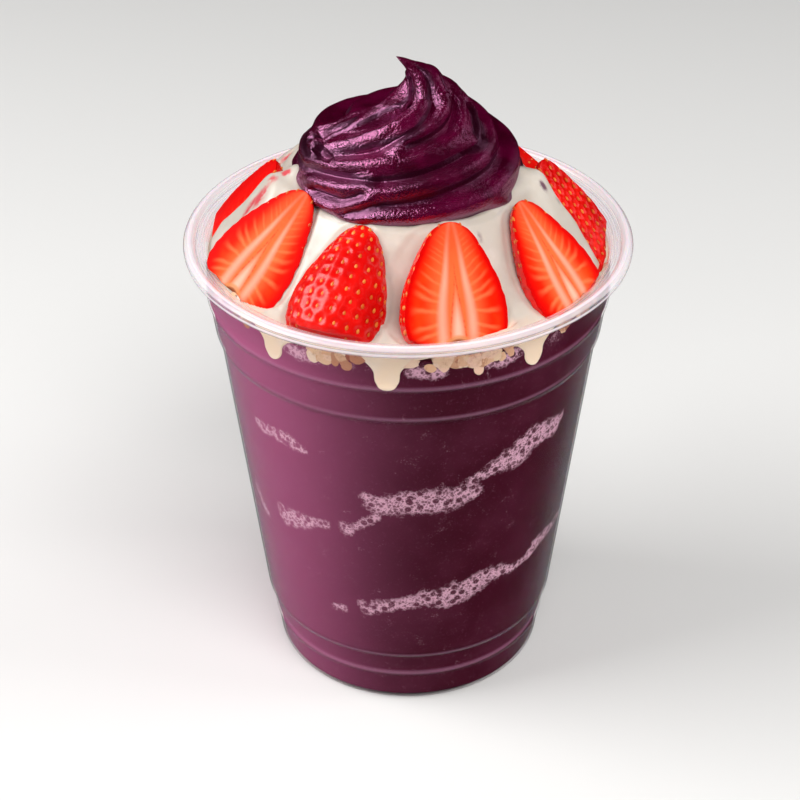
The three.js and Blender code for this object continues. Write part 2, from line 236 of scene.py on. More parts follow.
# %% [markdown]
# ## Helpers for materials
# All finishes are procedural. Colours are written as the usual 0 to 255 values of a picture and
# changed to the light values that Blender works in. One helper adds a node and wires it.

# %% Colours and nodes
def colour(red, green, blue):
    """A colour in Blender's light values."""
    def light(c):
        c /= 255
        return c / 12.92 if c <= 0.04045 else ((c + 0.055) / 1.055) ** 2.4
    return (light(red), light(green), light(blue), 1.0)


class Wire:
    """A value inside a material. A sum written with wires adds the nodes that work it out."""
    def __init__(self, socket):
        self.socket, self.tree = socket, socket.id_data

    __add__ = lambda self, other: calc("ADD", self, other)
    __sub__ = lambda self, other: calc("SUBTRACT", self, other)
    __rsub__ = lambda self, other: calc("SUBTRACT", other, self)
    __mul__ = lambda self, other: calc("MULTIPLY", self, other)
    __truediv__ = lambda self, other: calc("DIVIDE", self, other)
    __pow__ = lambda self, other: calc("POWER", self, other)
    __abs__ = lambda self: calc("ABSOLUTE", self)


def node(kind, settings=None, tree=None, out=0, **inputs):
    """Adds a node and gives one output. A name such as _1 stands for the input with that number."""
    tree = tree or next(value.tree for value in inputs.values() if isinstance(value, Wire))
    made = tree.nodes.new("ShaderNode" + kind)
    for key, value in (settings or {}).items():
        setattr(made, key, value)
    for key, value in inputs.items():
        socket = made.inputs[int(key[1:]) if key[0] == "_" else key.replace("_", " ")]
        if isinstance(value, Wire):
            tree.links.new(value.socket, socket)
        else:
            socket.default_value = value
    return Wire(made.outputs[out])


def calc(operation, *values):
    """The result of one sum on numbers or wires."""
    return node("Math", {"operation": operation}, **{f"_{i}": v for i, v in enumerate(values)})


def fade(value, low, high, start=0.0, end=1.0):
    """A soft change from start to end as value goes from low to high."""
    return node("MapRange", {"interpolation_type": "SMOOTHSTEP"}, _0=value, _1=low, _2=high,
                _3=start, _4=end)


def mixed(share, a, b):
    """Colour a, changed to colour b by share."""
    return node("Mix", {"data_type": "RGBA"}, out=2, _0=share, _6=a, _7=b)


def axis(place, number):
    """One coordinate of a place."""
    return node("SeparateXYZ", out=number, _0=place)


def stored(place, name, out="Fac"):
    """What paint() stored on the piece, read in the material that place belongs to."""
    return node("Attribute", {"attribute_name": name}, place.tree, out)


def spots(place, scale, detail=2.0, roughness=0.5):
    """A noise from 0 to 1."""
    return node("TexNoise", out="Fac", Vector=place, Scale=scale, Detail=detail,
                Roughness=roughness)


def curve_of(value, knots):
    """A smooth curve through (value, result) knots; both run from 0 to 1."""
    made = node("FloatCurve", Value=value)
    mapping = made.socket.node.mapping
    line = mapping.curves[0]
    line.points[0].location, line.points[1].location = knots[0], knots[-1]
    for x, y in knots[1:-1]:
        line.points.new(x, y)
    mapping.update()
    return made


def finish(name, base, roughness, **more):
    """A new material with one main shader, and its Object coordinates."""
    made = bpy.data.materials.new(name)
    made.use_nodes = True
    values = {"Base Color": base, "Roughness": roughness, **more}
    for key, value in values.items():
        socket = made.node_tree.nodes["Principled BSDF"].inputs[key.replace("_", " ")]
        socket.default_value = value
    return made, node("TexCoord", tree=made.node_tree, out="Object")


def feed(made, **wires):
    """Joins wires to sockets of a material's main shader."""
    for key, wire in wires.items():
        socket = made.node_tree.nodes["Principled BSDF"].inputs[key.replace("_", " ")]
        made.node_tree.links.new(wire.socket, socket)


def bump(height, distance, strength=1.0):
    """Lets a pattern raise the surface, by distance in metres."""
    return node("Bump", Height=height, Distance=distance, Strength=strength)


# %% [markdown]
# ## The cup
# A real cup like this is blown from one thin sheet of clear plastic. Its lip is rolled into a
# bead, and rings round the wall keep it stiff. It could be made from a cylinder, but spinning
# its section gives the rings, ledge and lip in one go, at their true places.

# %% The cup's section and shell
WALL = 0.6
WALL_STATIONS = [
    (1.2, 30.2), (7.4, 31.0), (8.0, 31.25), (8.6, 31.5), (9.3, 31.2), (13.4, 31.75),
    (14.2, 32.0), (15.4, 32.85), (82.9, 40.85), (83.8, 41.35), (84.6, 41.75), (91.2, 42.6),
    (92.0, 42.9), (92.9, 43.3), (93.8, 42.95), (94.8, 42.85), (102.4, 42.95),
]
FOOT = [(0, 1.6), (25.2, 1.6), (26.4, 0), (29.2, 0), (30.2, 1.2)]
LIP_RADIUS, LIP_CENTRE_R, LIP_CENTRE_Z = 1.3, 46.2, 103.7
FLANGE_Z = 103.35
ROUND_STEPS = 224

wall_z, wall_r = zip(*WALL_STATIONS)


def outer_radius(height):
    """Radius of the cup's outside at a height."""
    return np.interp(height, wall_z, wall_r)


def inner_radius(height):
    """Radius of the cup's inside at a height."""
    return outer_radius(height) - WALL


outside = FOOT[:-1] + [(r, z) for z, r in WALL_STATIONS]
outside += [(43.5, FLANGE_Z - 0.25), (44.3, FLANGE_Z), (44.9, FLANGE_Z)]
lip = [(LIP_CENTRE_R + LIP_RADIUS * math.cos(a), LIP_CENTRE_Z + LIP_RADIUS * math.sin(a))
       for a in np.radians(np.linspace(-168, 168, 25))]
ledge = [(44.8, FLANGE_Z + WALL), (43.9, FLANGE_Z + WALL), (42.9, FLANGE_Z + 0.3)]
inside = [(r - WALL, z) for z, r in reversed(WALL_STATIONS) if z > 14]
inside += [(31.1, 13), (29.6, 3.4), (28.6, 0.7), (26.6, 0.7), (25.6, 2.2), (0, 2.2)]
shell_section = rounded(outside, 0.6) + lip + rounded(ledge + inside, 0.6)

cup = turned("clear_cup", shell_section, ROUND_STEPS)
soften(cup, 60)

# %% [markdown]
# Clear plastic is mostly a view of what is behind it, plus a thin gloss that grows towards the
# edges. So its shader mixes plain see-through with a glossy part by Fresnel. The rolled lip and
# the ledge are thicker and stretched, which turns them milky, so a white shader grows there.
# The white also grows where the wall is seen edge-on: partly the plastic's haze and partly a
# painted sheen. The crests of the rings have a trace of it too: partly milky plastic and partly
# a painted highlight line.

# %% Clear plastic with a milky lip
PLASTIC_IOR = 1.45
MILKY_FROM, MILKY_TO = 102.6, 103.2
# (height on the lip, how milky it is): a thin bright line, a clear one and a soft band
LIP_BANDS = [(102.4, 0.3), (103.2, 0.35), (103.45, 0.85), (103.8, 0.85), (104.0, 0.22),
             (104.25, 0.22), (104.5, 0.5), (104.9, 0.5), (104.97, 0.85), (105.0, 0.85)]
LIP_INSIDE_R = 45.0
LEDGE_MILK, LEDGE_LINE_MILK, LEDGE_LINE_PITCH = 0.28, 0.12, 0.55
RING_CRESTS = (8.6, 14.5, 84.4, 92.6)
# the milky trace on the ring crests is partly a painted highlight line
RING_MILK_AND_HIGHLIGHT, RING_HALF_WIDTH = 0.03, 0.95
EDGE_HAZE_AND_SHEEN = 0.3


def clear_plastic():
    made, place = finish("clear_plastic", colour(240, 230, 236), 0.2, Specular_IOR_Level=0.5,
                         Coat_Weight=0.3, Coat_Roughness=0.06, Subsurface_Weight=0.3,
                         Subsurface_Scale=0.002)
    tree = made.node_tree
    milk = Wire(tree.nodes["Principled BSDF"].outputs[0])
    through = node("BsdfTransparent", tree=tree, Color=(1, 0.985, 0.99, 1))
    gloss = node("BsdfAnisotropic", tree=tree, Color=(1, 0.97, 0.985, 1), Roughness=0.25)
    front = 1.0 - node("NewGeometry", tree=tree, out="Backfacing")
    edge = node("Fresnel", tree=tree, IOR=PLASTIC_IOR) * front
    clear = node("MixShader", _0=edge, _1=through, _2=gloss)

    height = axis(place, 2) / MM
    radius = calc("SQRT", axis(place, 0) ** 2.0 + axis(place, 1) ** 2.0)
    low, high = LIP_BANDS[0][0], LIP_BANDS[-1][0]
    bands = curve_of((height - low) / (high - low),
                     [((z - low) / (high - low), milkiness) for z, milkiness in LIP_BANDS])
    on_lip = fade(radius, (LIP_INSIDE_R - 0.3) * MM, LIP_INSIDE_R * MM)
    lines = calc("SINE", radius * (2 * math.pi / (LEDGE_LINE_PITCH * MM)))
    ledge = lines * LEDGE_LINE_MILK + LEDGE_MILK
    milky = node("Mix", {"data_type": "FLOAT"}, _0=on_lip, _2=ledge, _3=bands)
    milk_and_sheen = milky * fade(height, MILKY_FROM, MILKY_TO)
    # partly haze, partly painted sheen: the milky white grows where the wall is seen edge-on
    milk_and_sheen = calc("MAXIMUM", milk_and_sheen, fade(edge, 0.06, 0.6, 0, EDGE_HAZE_AND_SHEEN))
    # partly milky plastic, partly a painted highlight line along each ring crest
    for crest in RING_CRESTS:
        ring = fade(abs(height - crest), 0, RING_HALF_WIDTH, RING_MILK_AND_HIGHLIGHT, 0)
        milk_and_sheen = calc("MAXIMUM", milk_and_sheen, ring)
    both = node("MixShader", _0=milk_and_sheen, _1=clear, _2=milk)
    tree.links.new(both.socket, tree.nodes["Material Output"].inputs["Surface"])
    return made


cup.data.materials.append(clear_plastic())

# %% [markdown]
# ## The sorbet in the cup
# The sorbet fills the cup and is seen through its wall. Its skin is laid a little way into the
# wall, so that no gap of air shows between the two. Where it was filled in, pale froth was
# drawn out into streaks. The froth is a number stored on each point, high along the streaks,
# and the material turns that number into bubbles.

# %% Streaks of froth
# azimuth, height and half width along each one
FROTH_STREAKS = [
    [(-54.7, 71.3, 0.5), (-51.7, 71.4, 1.3), (-47.6, 71.6, 0.7), (-44.1, 72.0, 1.1),
     (-40.1, 71.7, 1.3), (-36.8, 71.2, 0.9), (-34.5, 70.9, 0.4)],
    [(-14.3, 62.0, 0.7), (-11.7, 60.3, 1.9), (-6.7, 60.4, 2.5), (-0.6, 61.3, 3.0),
     (5.5, 61.2, 3.6), (11.6, 61.4, 3.3), (17.0, 62.4, 2.9), (21.0, 62.6, 1.5)],
    [(20.2, 66.0, 0.7), (23.7, 67.1, 0.9), (28.6, 67.9, 1.7), (31.9, 69.0, 2.8),
     (36.4, 69.3, 3.5), (39.8, 71.6, 3.1), (44.9, 72.1, 2.9), (51.0, 71.5, 2.6),
     (54.5, 72.7, 0.9)],
    [(-17.7, 53.2, 0.2), (-13.9, 55.2, 0.3), (-10.7, 56.6, 0.3)],
    [(-49.0, 50.0, 0.7), (-47.8, 47.9, 1.7), (-42.6, 49.0, 2.2), (-37.9, 50.2, 1.3),
     (-33.1, 51.1, 0.5), (-28.8, 51.5, 0.4)],
    [(-21.4, 52.1, 1.0), (-20.9, 52.1, 1.0)],
    [(-28.4, 27.1, 0.4), (-25.3, 27.2, 0.4)],
    [(-17.5, 29.8, 0.4), (-15.2, 28.3, 0.9), (-10.5, 30.1, 1.3), (-4.7, 31.1, 1.3),
     (1.3, 32.0, 1.5), (6.5, 33.0, 2.1), (11.9, 32.2, 3.0), (17.2, 33.1, 3.3),
     (22.6, 34.3, 3.0), (28.1, 36.0, 2.3), (34.2, 36.3, 1.2), (38.4, 35.2, 0.3)],
    [(38.4, 35.0, 0.25), (43.7, 35.3, 0.3), (49.0, 35.5, 0.4)],
    [(49.4, 36.0, 0.7), (52.5, 37.5, 1.7), (58.2, 37.8, 1.2), (64.1, 38.1, 0.5),
     (73.2, 37.5, 0.3)],
    [(-66.6, 48.8, 0.3), (-63.8, 45.9, 0.5), (-60.4, 44.1, 0.3)],
    [(118, 64.0, 0.6), (128, 62.5, 2.0), (140, 62.0, 2.6), (152, 63.5, 1.8), (160, 66, 0.5)],
    [(176, 40.0, 0.5), (188, 38.5, 1.9), (200, 39.0, 2.3), (214, 41.5, 1.2), (226, 45, 0.4)],
    [(236, 67.0, 0.5), (246, 65.0, 1.7), (257, 65.5, 1.1), (266, 67.5, 0.4)],
    [(92, 52.0, 0.4), (101, 50.0, 1.5), (111, 50.5, 0.8), (119, 52.5, 0.3)],
    [(-35, 97.6, 0.4), (-31, 97.4, 0.9), (-28, 97.0, 0.5)],
    [(0, 96.6, 0.4), (4, 96.3, 0.9), (8, 96.2, 0.6)],
    [(22, 96.9, 0.5), (27, 96.8, 1.0), (31, 97.5, 0.6)],
]
FROTH_EDGE = 1.6


def froth_amount(points):
    """About 1 in the middle of a streak of froth, 0 well outside it."""
    azimuth = np.degrees(np.arctan2(points[:, 0], -points[:, 1])) % 360
    height = points[:, 2]
    best = np.zeros(len(points))
    for streak in FROTH_STREAKS:
        for (a0, z0, w0), (a1, z1, w1) in zip(streak, streak[1:]):
            arc = np.radians(outer_radius((z0 + z1) / 2))
            x = ((azimuth - a0 + 180) % 360 - 180) * arc
            run, rise = (a1 - a0) * arc, z1 - z0
            t = np.clip((x * run + (height - z0) * rise) / (run ** 2 + rise ** 2), 0, 1)
            away = np.hypot(x - t * run, height - z0 - t * rise)
            width = w0 + (w1 - w0) * t
            best = np.maximum(best, 1 - smooth_step(width * 0.35, width + FROTH_EDGE, away))
    return best


print("froth streaks:", len(FROTH_STREAKS))

# %% [markdown]
# The body is turned like the cup. Its side follows the inside of the wall, and every point of
# it is told how much froth lies there. A faint, broken band of froth runs round under the rim.

# %% The body of sorbet
SORBET_TOP = 99.2
INTO_WALL = 0.18
SORBET_COLUMNS, SORBET_ROW = 400, 0.62
RIM_FROTH, RIM_FROM, RIM_TO = 0.36, 94.6, 97.6

side_z = np.arange(1.6, SORBET_TOP, SORBET_ROW)
sorbet_section = [(0, 1.3), (20, 1.3), (28.6, 1.0), (29.7, 1.4)]
sorbet_section += [(float(inner_radius(z)) + INTO_WALL, float(z)) for z in side_z]
sorbet_section += [(41.8, SORBET_TOP), (24, SORBET_TOP), (0, SORBET_TOP)]
sorbet = turned("acai_sorbet", sorbet_section, SORBET_COLUMNS)
soften(sorbet, 60)
where = points_of(sorbet)
rim_band = smooth_step(RIM_FROM, RIM_TO, where[:, 2] + 1.6 * waves(where, 9, 5))
rim_band *= smooth_step(0.05, 0.5, waves(where * [1, 1, 0.4], 11, 6) + 0.15)
paint(sorbet, "froth", np.maximum(froth_amount(where), RIM_FROTH * rim_band))

# %% [markdown]
# The sorbet is a deep red purple, painted lighter towards the left as painted light from the
# key lamp there. Close to the wall it has faint cloudy patches and tiny pale specks, and a
# pale line along each ring crest is a painted highlight. Froth is a net of small bubbles: the
# walls between the cells of a Voronoi pattern are pale, and the cells show the dark sorbet.
# Three cell sizes together look like real foam.

# %% Sorbet and its froth
BUBBLES = [(500, 0.36, 0.95), (1100, 0.38, 0.8), (2300, 0.40, 0.55)]  # scale, radius, depth


def sorbet_finish():
    made, place = finish("sorbet_through_wall", colour(100, 36, 62), 0.5, Specular_IOR_Level=0.06,
                         Subsurface_Weight=0.2, Subsurface_Scale=0.003,
                         Subsurface_Radius=(1.0, 0.35, 0.6))
    # painted light: the sorbet is painted lighter towards the left, where the key lamp stands
    left = fade(axis(place, 0), 0.014, -0.036)
    deep = mixed(left ** 1.7, colour(66, 14, 32), colour(166, 88, 126))
    deep = mixed(fade(spots(place, 55, 4, 0.55), 0.35, 0.75, 0, 0.14), deep, colour(136, 66, 98))
    deep = mixed(fade(spots(place, 1500, 2, 0.6), 0.56, 0.8, 0, 0.14), deep,
                 colour(150, 90, 120))
    # painted highlight: a pale mauve line on the sorbet along each ring crest
    for crest in RING_CRESTS:
        line = fade(abs(axis(place, 2) - crest * MM), 0, RING_HALF_WIDTH * MM, 0.3, 0)
        deep = mixed(line, deep, colour(190, 128, 164))
    ragged = stored(place, "froth") + fade(spots(place, 340, 4, 0.75), 0.2, 0.8, -0.36, 0.36)
    holes = 0.0
    for scale, radius, depth in BUBBLES:
        cells = node("TexVoronoi", out="Distance", Vector=place, Scale=scale)
        holes = calc("MAXIMUM", holes, fade(cells, radius * 0.8, radius * 1.25, depth, 0))
    dust = fade(ragged, 0.1, 0.42) * fade(spots(place, 2600, 2, 0.6), 0.56, 0.66) * 0.42
    pale = fade(ragged, 0.2, 0.62) * (1.0 - holes) * fade(ragged, 0.3, 1.1, 0.45, 0.85)
    feed(made, Base_Color=mixed(calc("MAXIMUM", pale, dust), deep, colour(226, 178, 198)))
    return made


sorbet.data.materials.append(sorbet_finish())

# %% [markdown]
# ## Where the cream lies
# The cream is thick enough to stand as a mound and still runs. Its height is a smooth curve
# from the swirl to the wall. The strawberries press into it, so it is highest between them.

# %% The mound's height
CREAM_CURVE = [(0, 117.6), (20.5, 118.3), (23.0, 118.3), (24.4, 117.4), (26.5, 114.5), (29, 111.0),
               (31, 108.6), (33.5, 106.1), (36, 104.1), (39, 102.5), (43, 101.7)]
BERRY_TIP = (25.0, 119.7)


def cream_height(radius):
    """Height of the plain mound at a distance from the middle."""
    return np.interp(radius, *zip(*CREAM_CURVE))


# %% [markdown]
# ## The strawberry halves
# Each half lies on the slope of the mound with its tip to the swirl. Most show the cut face and
# some the seeded skin. A half strawberry is a rounded cone cut lengthwise. A sphere could be
# squeezed into one, but a section given by its outline keeps the cut flat and the edge crisp,
# so each half is a fine grid wrapped round D-shaped sections from the tip to the calyx end.

# %% Places and sizes of the halves
# azimuth and lean in degrees; proud: how far the cut face stands out of the mound; side: 1 where
# the skin faces out, -1 where the cut face does; veil: the side that the cream covers, up to
# edge (at the tip, the middle and the calyx); below: halves that this one gives way to; strip:
# only the outer flesh shows; seeded: the open strip is skin
BERRIES = [
    dict(azimuth=-59.4, lean=3.4, length=26.9, width=19.0, proud=0.4, roll=27.5,
         slide=1.5, slope=47.4),
    dict(azimuth=-23.6, lean=3, length=26.3, width=20.5, proud=-2.9, side=1),
    dict(azimuth=14.8, lean=4.2, length=25.2, width=23.8, proud=3.2, roll=15.5,
         slide=0.2, slope=57.8),
    dict(azimuth=55.4, lean=3.8, length=25.9, width=19.0, proud=0.8, roll=-7.6,
         slide=-1.1, slope=49.0),
    dict(azimuth=83.5, lean=6.0, length=27.4, width=20.5, proud=3.2, roll=-12.0, slide=0.5,
         slope=56.2, veil=-1, edge=(-0.8, -0.5, -2.5), below=(4,), strip=True, seeded=True),
    dict(azimuth=132.0, lean=-4, length=26.0, width=21.5, proud=0.2),
    dict(azimuth=173.0, lean=5, length=25.5, width=20.0, proud=-2.8, side=1),
    dict(azimuth=-142.0, lean=-6, length=27.0, width=22.0, proud=0.0, veil=1,
         edge=(-3.0, -6.5, -7.0)),
    dict(azimuth=-87.6, lean=2.3, length=27.6, width=21.8, proud=3.1, roll=3.8, slide=0.6,
         slope=54.2, veil=1, edge=(-1.0, 3.4, 3.0), below=(1,), strip=True),
]
COMMON = dict(roll=0.0, slide=0.0, slope=49.5, side=-1, veil=0, below=(), strip=False,
              seeded=False)
BERRIES = [{**COMMON, **berry} for berry in BERRIES]
# (share of the length, half width as a share of the widest), from the tip to the calyx end
OUTLINE = [(0, 0), (0.006, 0.11), (0.02, 0.2), (0.05, 0.31), (0.11, 0.44), (0.2, 0.57),
           (0.32, 0.71), (0.46, 0.86), (0.6, 0.96), (0.74, 1.0), (0.84, 0.98), (0.91, 0.91),
           (0.96, 0.77), (0.987, 0.53), (0.997, 0.27), (1.0, 0)]
OUTLINE_STEPS, OUTLINE_SOFT = 2001, 81
BERRY_DEPTH = 0.84
LEAN_CENTRE = 0.6
BERRY_LIMIT_R, PRESS_SOFT = 42.15, 0.9
# a half reaches farther out over the cup's ledge: by how much, and between which heights
LEDGE_ROOM, LIP_ROOM = (0.8, 102.2, 104.2), (1.5, 103.9, 105.2)
BERRY_FLOOR, FLOOR_SOFT = 99.6, 2


def outline_at(t):
    """Half width of a berry at a share t of its length, as a share of its widest."""
    fine_t = np.linspace(0, 1, OUTLINE_STEPS)
    coarse = np.interp(fine_t, *zip(*OUTLINE))
    kernel = np.hanning(OUTLINE_SOFT) / np.hanning(OUTLINE_SOFT).sum()
    padded = np.pad(coarse, OUTLINE_SOFT // 2, mode="reflect", reflect_type="odd")
    even = np.convolve(padded, kernel, "valid")
    ends = np.minimum(smooth_step(0, 0.04, fine_t), smooth_step(0, 0.03, 1 - fine_t))
    return np.interp(t, fine_t, coarse + (even - coarse) * ends)


def to_world(local, berry):
    """Lays points of a berry's own frame (across, towards the tip, out of the cut)."""
    roll, lean, slope, turn = np.radians([berry[k] for k in ("roll", "lean", "slope", "azimuth")])
    middle = np.array([0, berry["length"] * LEAN_CENTRE, 0])
    points = rotated(rotated(local, 1, -roll) + middle, 2, -lean) - middle
    points = rotated(points + [0, berry["slide"], 0], 0, slope)
    points += berry["proud"] * np.array([0, -math.sin(slope), math.cos(slope)])
    return rotated(points + [0, -BERRY_TIP[0], BERRY_TIP[1]], 2, turn)


def pressed(points):
    """Presses soft fruit against the wall and the layer below, without folding it."""
    points = points.copy()
    limit = BERRY_LIMIT_R
    for more, low, high in (LEDGE_ROOM, LIP_ROOM):
        limit = limit + more * smooth_step(low, high, points[:, 2])
    within(points, limit, PRESS_SOFT)
    points[:, 2] = -kept_below(-points[:, 2], -BERRY_FLOOR, FLOOR_SOFT)
    return points


print("strawberry halves:", len(BERRIES))

# %% [markdown]
# Where two halves lie close together, one gives way to the other, and the cream leaves every
# open cut face free. Both need to know how high a cut face is above a place.

# %% Height of a cut face
def own_place(points, berry):
    """Points of the world in the berry's own frame: the way back from to_world()."""
    origin = to_world(np.zeros((1, 3)), berry)[0]
    axes = to_world(np.eye(3), berry) - origin
    return (points - origin) @ axes.T


def face_over(x, y, berry):
    """Height of the cut face's plane at x and y, and the place on it in the berry's frame."""
    origin, out = to_world(np.array([[0, 0, 0], [0, 0, 1]]), berry)
    normal = out - origin
    plane = origin[2] - ((x - origin[0]) * normal[0] + (y - origin[1]) * normal[1]) / normal[2]
    local = own_place(np.stack([x, y, plane], axis=1), berry)
    t = np.clip(-local[:, 1] / berry["length"], 0, 1)
    return plane, local, t, berry["width"] / 2 * outline_at(t)


CREAM_GAP, CREAM_RISE = 0.35, 1.3  # below an open cut face, and how steeply it rises beyond


def clear_height(x, y, berry):
    """Highest that the cream may be so that an open cut face stays free."""
    plane, local, t, half = face_over(x, y, berry)
    past = np.maximum(-local[:, 1] / berry["length"] - 1, 0) * berry["length"]
    beyond = np.hypot(np.maximum(np.abs(local[:, 0]) - half, 0), np.maximum(local[:, 1], past))
    return plane - CREAM_GAP + CREAM_RISE * beyond


# %% [markdown]
# ### Seeds
# A strawberry's seeds sit in small pits, in rows that are shifted by half a step, which gives
# the diagonal pattern. The places are worked out once for each half. The skin then sinks at
# each of them, and a small seed is set into every pit.

# %% Seed places
SEED_PITCH, SEED_ROW = 2.75, 0.88
SEED_JITTER, SIDE_JITTER = 0.006, 0.2
FIRST_ROW, LAST_ROW = 0.035, 0.93  # as shares of the length, from the tip
RIM_SEED = 0.06


def seed_places(berry, dice):
    """(share of length, angle round the skin) of the seeds of one half."""
    places = []
    row, t = 0, FIRST_ROW
    while t < LAST_ROW:
        around = math.pi * berry["width"] / 2 * outline_at(t) * (0.5 + 0.5 * BERRY_DEPTH)
        pitch = SEED_PITCH * (0.72 + 0.28 * min(1, t / 0.35))
        count = max(2, round(around / pitch))
        for i in range(count + 1):
            angle = math.pi * (i + 0.5 * (row % 2)) / count + dice.uniform(-0.25, 0.25) / count
            angle = min(max(angle, RIM_SEED), math.pi - RIM_SEED)
            places.append((t + dice.uniform(-SEED_JITTER, SEED_JITTER), angle))
        t += pitch * SEED_ROW / berry["length"]
        row += 1
    return places


def side_seed_places(berry, dice):
    """Places on a half's flat side where it shows skin beside the cream."""
    places = []
    for row, t in enumerate(np.arange(0.1, LAST_ROW, SEED_PITCH * SEED_ROW / berry["length"])):
        half = berry["width"] / 2 * outline_at(t)
        for x in np.arange(-3 + 1.3 * (row % 2), half - 0.5, SEED_PITCH * 0.95):
            x = -x * berry["veil"] + dice.uniform(-SIDE_JITTER, SIDE_JITTER)
            places.append([x, -t * berry["length"], 0.2])
    return np.array(places) if berry["seeded"] else np.empty((0, 3))


# %% [markdown]
# The first two thirds of the grid's columns go round the skin, the rest across the cut face.
# A point near a seed is moved in, by most where the seed sits.

# %% One half with its pits
PIT_DEPTH, PIT_RADIUS = 0.5, 1.05
SEED_SINK, SIDE_SEED_SINK = 0.46, 0.3
BERRY_ROWS, BERRY_COLUMNS = 116, 168
SKIN_SHARE = 0.66
FACE_DOME = 0.35
CALYX_HOLLOW, CALYX_RADIUS = 1.5, 3.0


def skin_point(berry, t, angle, sink=0.0):
    """A point of the skin in the berry's own frame; sink moves it in, in millimetres."""
    half = berry["width"] / 2 * outline_at(t)
    x = (half - sink) * np.cos(angle)
    z = berry["side"] * (half * BERRY_DEPTH - sink) * np.sin(angle)
    return np.stack([x, -t * berry["length"] + sink * 0.4 * (0.5 - t), z], axis=-1)


def pit(local, centre):
    """How far a seed at centre sinks the points round it."""
    near = np.linalg.norm((local - centre) * [1, 0.85, 1], axis=1) / PIT_RADIUS
    return PIT_DEPTH * np.exp(-near ** 2 * 1.6)


def half_berry(number, berry):
    """One half with its pits, and the places of its seeds in the world."""
    dice = np.random.default_rng(40 + number)
    places = seed_places(berry, dice)
    side_places = side_seed_places(berry, dice)

    def surface(u, v):
        t = (1 - np.cos(math.pi * (0.04 + 0.92 * v))) / 2
        t = (t - t.min()) / (t.max() - t.min())
        half = berry["width"] / 2 * outline_at(t)
        on_skin = u <= SKIN_SHARE
        angle = np.where(on_skin, math.pi * u / SKIN_SHARE, math.pi)
        across = np.where(on_skin, np.cos(angle), -1 + 2 * (u - SKIN_SHARE) / (1 - SKIN_SHARE))
        skin = skin_point(berry, t, angle)
        dome = FACE_DOME * (1 - across ** 2) * np.sqrt(np.maximum(half, 0) / half.max())
        local = np.stack([half * across, -t * berry["length"],
                          np.where(on_skin, skin[:, 2], -berry["side"] * dome)], axis=1)
        sink = np.max([pit(local, skin_point(berry, *place)) for place in places], axis=0)
        sink *= 0.45 + 0.55 * np.clip(np.abs(local[:, 2]) / 2.5, 0, 1)
        inward = np.stack([across, 0 * across, skin[:, 2] / np.maximum(half, 0.5)], axis=1)
        local -= (sink * np.where(on_skin, 1, np.abs(across) ** 14))[:, None] * inward
        for centre in side_places:
            local[:, 2] -= np.where(on_skin, 0, pit(local, centre))
        local[:, 0] *= 1 + 0.02 * waves(local, 14, 60 + number)
        local[:, 1] += (CALYX_HOLLOW * np.exp(-(local[:, 0] / CALYX_RADIUS) ** 2)
                        * smooth_step(0.86, 1, t))
        points = pressed(to_world(local, berry))
        for other in berry["below"]:
            lid = clear_height(points[:, 0], points[:, 1], BERRIES[other - 1]) - 0.4
            points[:, 2] = np.minimum(points[:, 2], lid)
        return points.T

    piece = laid(f"strawberry_half_{number}", BERRY_COLUMNS, BERRY_ROWS, surface)
    soften(piece, 38)
    # each seed is three points: where it sits, the way out and the way to the tip
    seats = [(skin_point(berry, t, angle, SEED_SINK),
                  [math.cos(angle), 0.28 * (0.75 - t), berry["side"] * math.sin(angle)])
                 for t, angle in places]
    seats += [(place - [0, 0, SIDE_SEED_SINK], [0, 0, 1]) for place in side_places]
    return piece, [to_world(spot + np.array([[0, 0, 0], out, [0, 1, 0]]), berry)
                   for spot, out in seats]


# %% [markdown]
# The flesh is drawn by two stored values: the place on the cut face and the way to its rim.
# Each face of the grid is then given to the skin or to the flesh.

# %% The nine halves
SKIN_FROM = 0.3335  # the skin begins this far behind the cut face


def paint_cut(piece, berry):
    """Stores where a point is on the cut face, and gives skin and flesh their faces."""
    local = own_place(points_of(piece), berry)
    t = np.clip(-local[:, 1] / berry["length"], 0, 1)
    half = berry["width"] / 2 * np.maximum(outline_at(t), 0.02)
    across = local[:, 0] / (berry["width"] / 2)
    inset = half - np.abs(local[:, 0])
    if berry["strip"]:
        across, inset = 0.45 * across - 0.55 * berry["veil"], 0.2 * inset
    paint(piece, "cut_place", np.stack([across, t, 0 * t], axis=1))
    paint(piece, "cut_edge", inset)
    flat = (local[:, 2] > -SKIN_FROM).tolist()
    shows_flesh = berry["side"] < 0 and not berry["seeded"]
    for face in piece.data.polygons:
        face.material_index = int(shows_flesh and all(flat[i] for i in face.vertices))


berry_pieces, berry_seeds = [], []
for number, berry in enumerate(BERRIES, 1):
    piece, seeds = half_berry(number, berry)
    paint_cut(piece, berry)
    berry_pieces.append(piece)
    berry_seeds += seeds
print("seeds:", len(berry_seeds))

# %% [markdown]
# ### The fruit's finish
# The skin is a wet, deep red. The cut face is duller and draws what a real strawberry shows: a
# red rim, orange red flesh, two pale lines that run down from the tip beside the core, a pale
# wedge between them, and fine light fibres fanning outwards.

# %% Cut flesh
CORE_LINES = [(0.0, 0.03), (0.1, 0.08), (0.4, 0.175), (0.72, 0.28), (1.0, 0.28)]
FIBRES, OTHER_HALF = 17.0, 40.37  # fibres along a half, and a shift so that both sides differ
JUICY = dict(Subsurface_Weight=0.12, Subsurface_Scale=0.0022, Subsurface_Radius=(1.0, 0.22, 0.12))


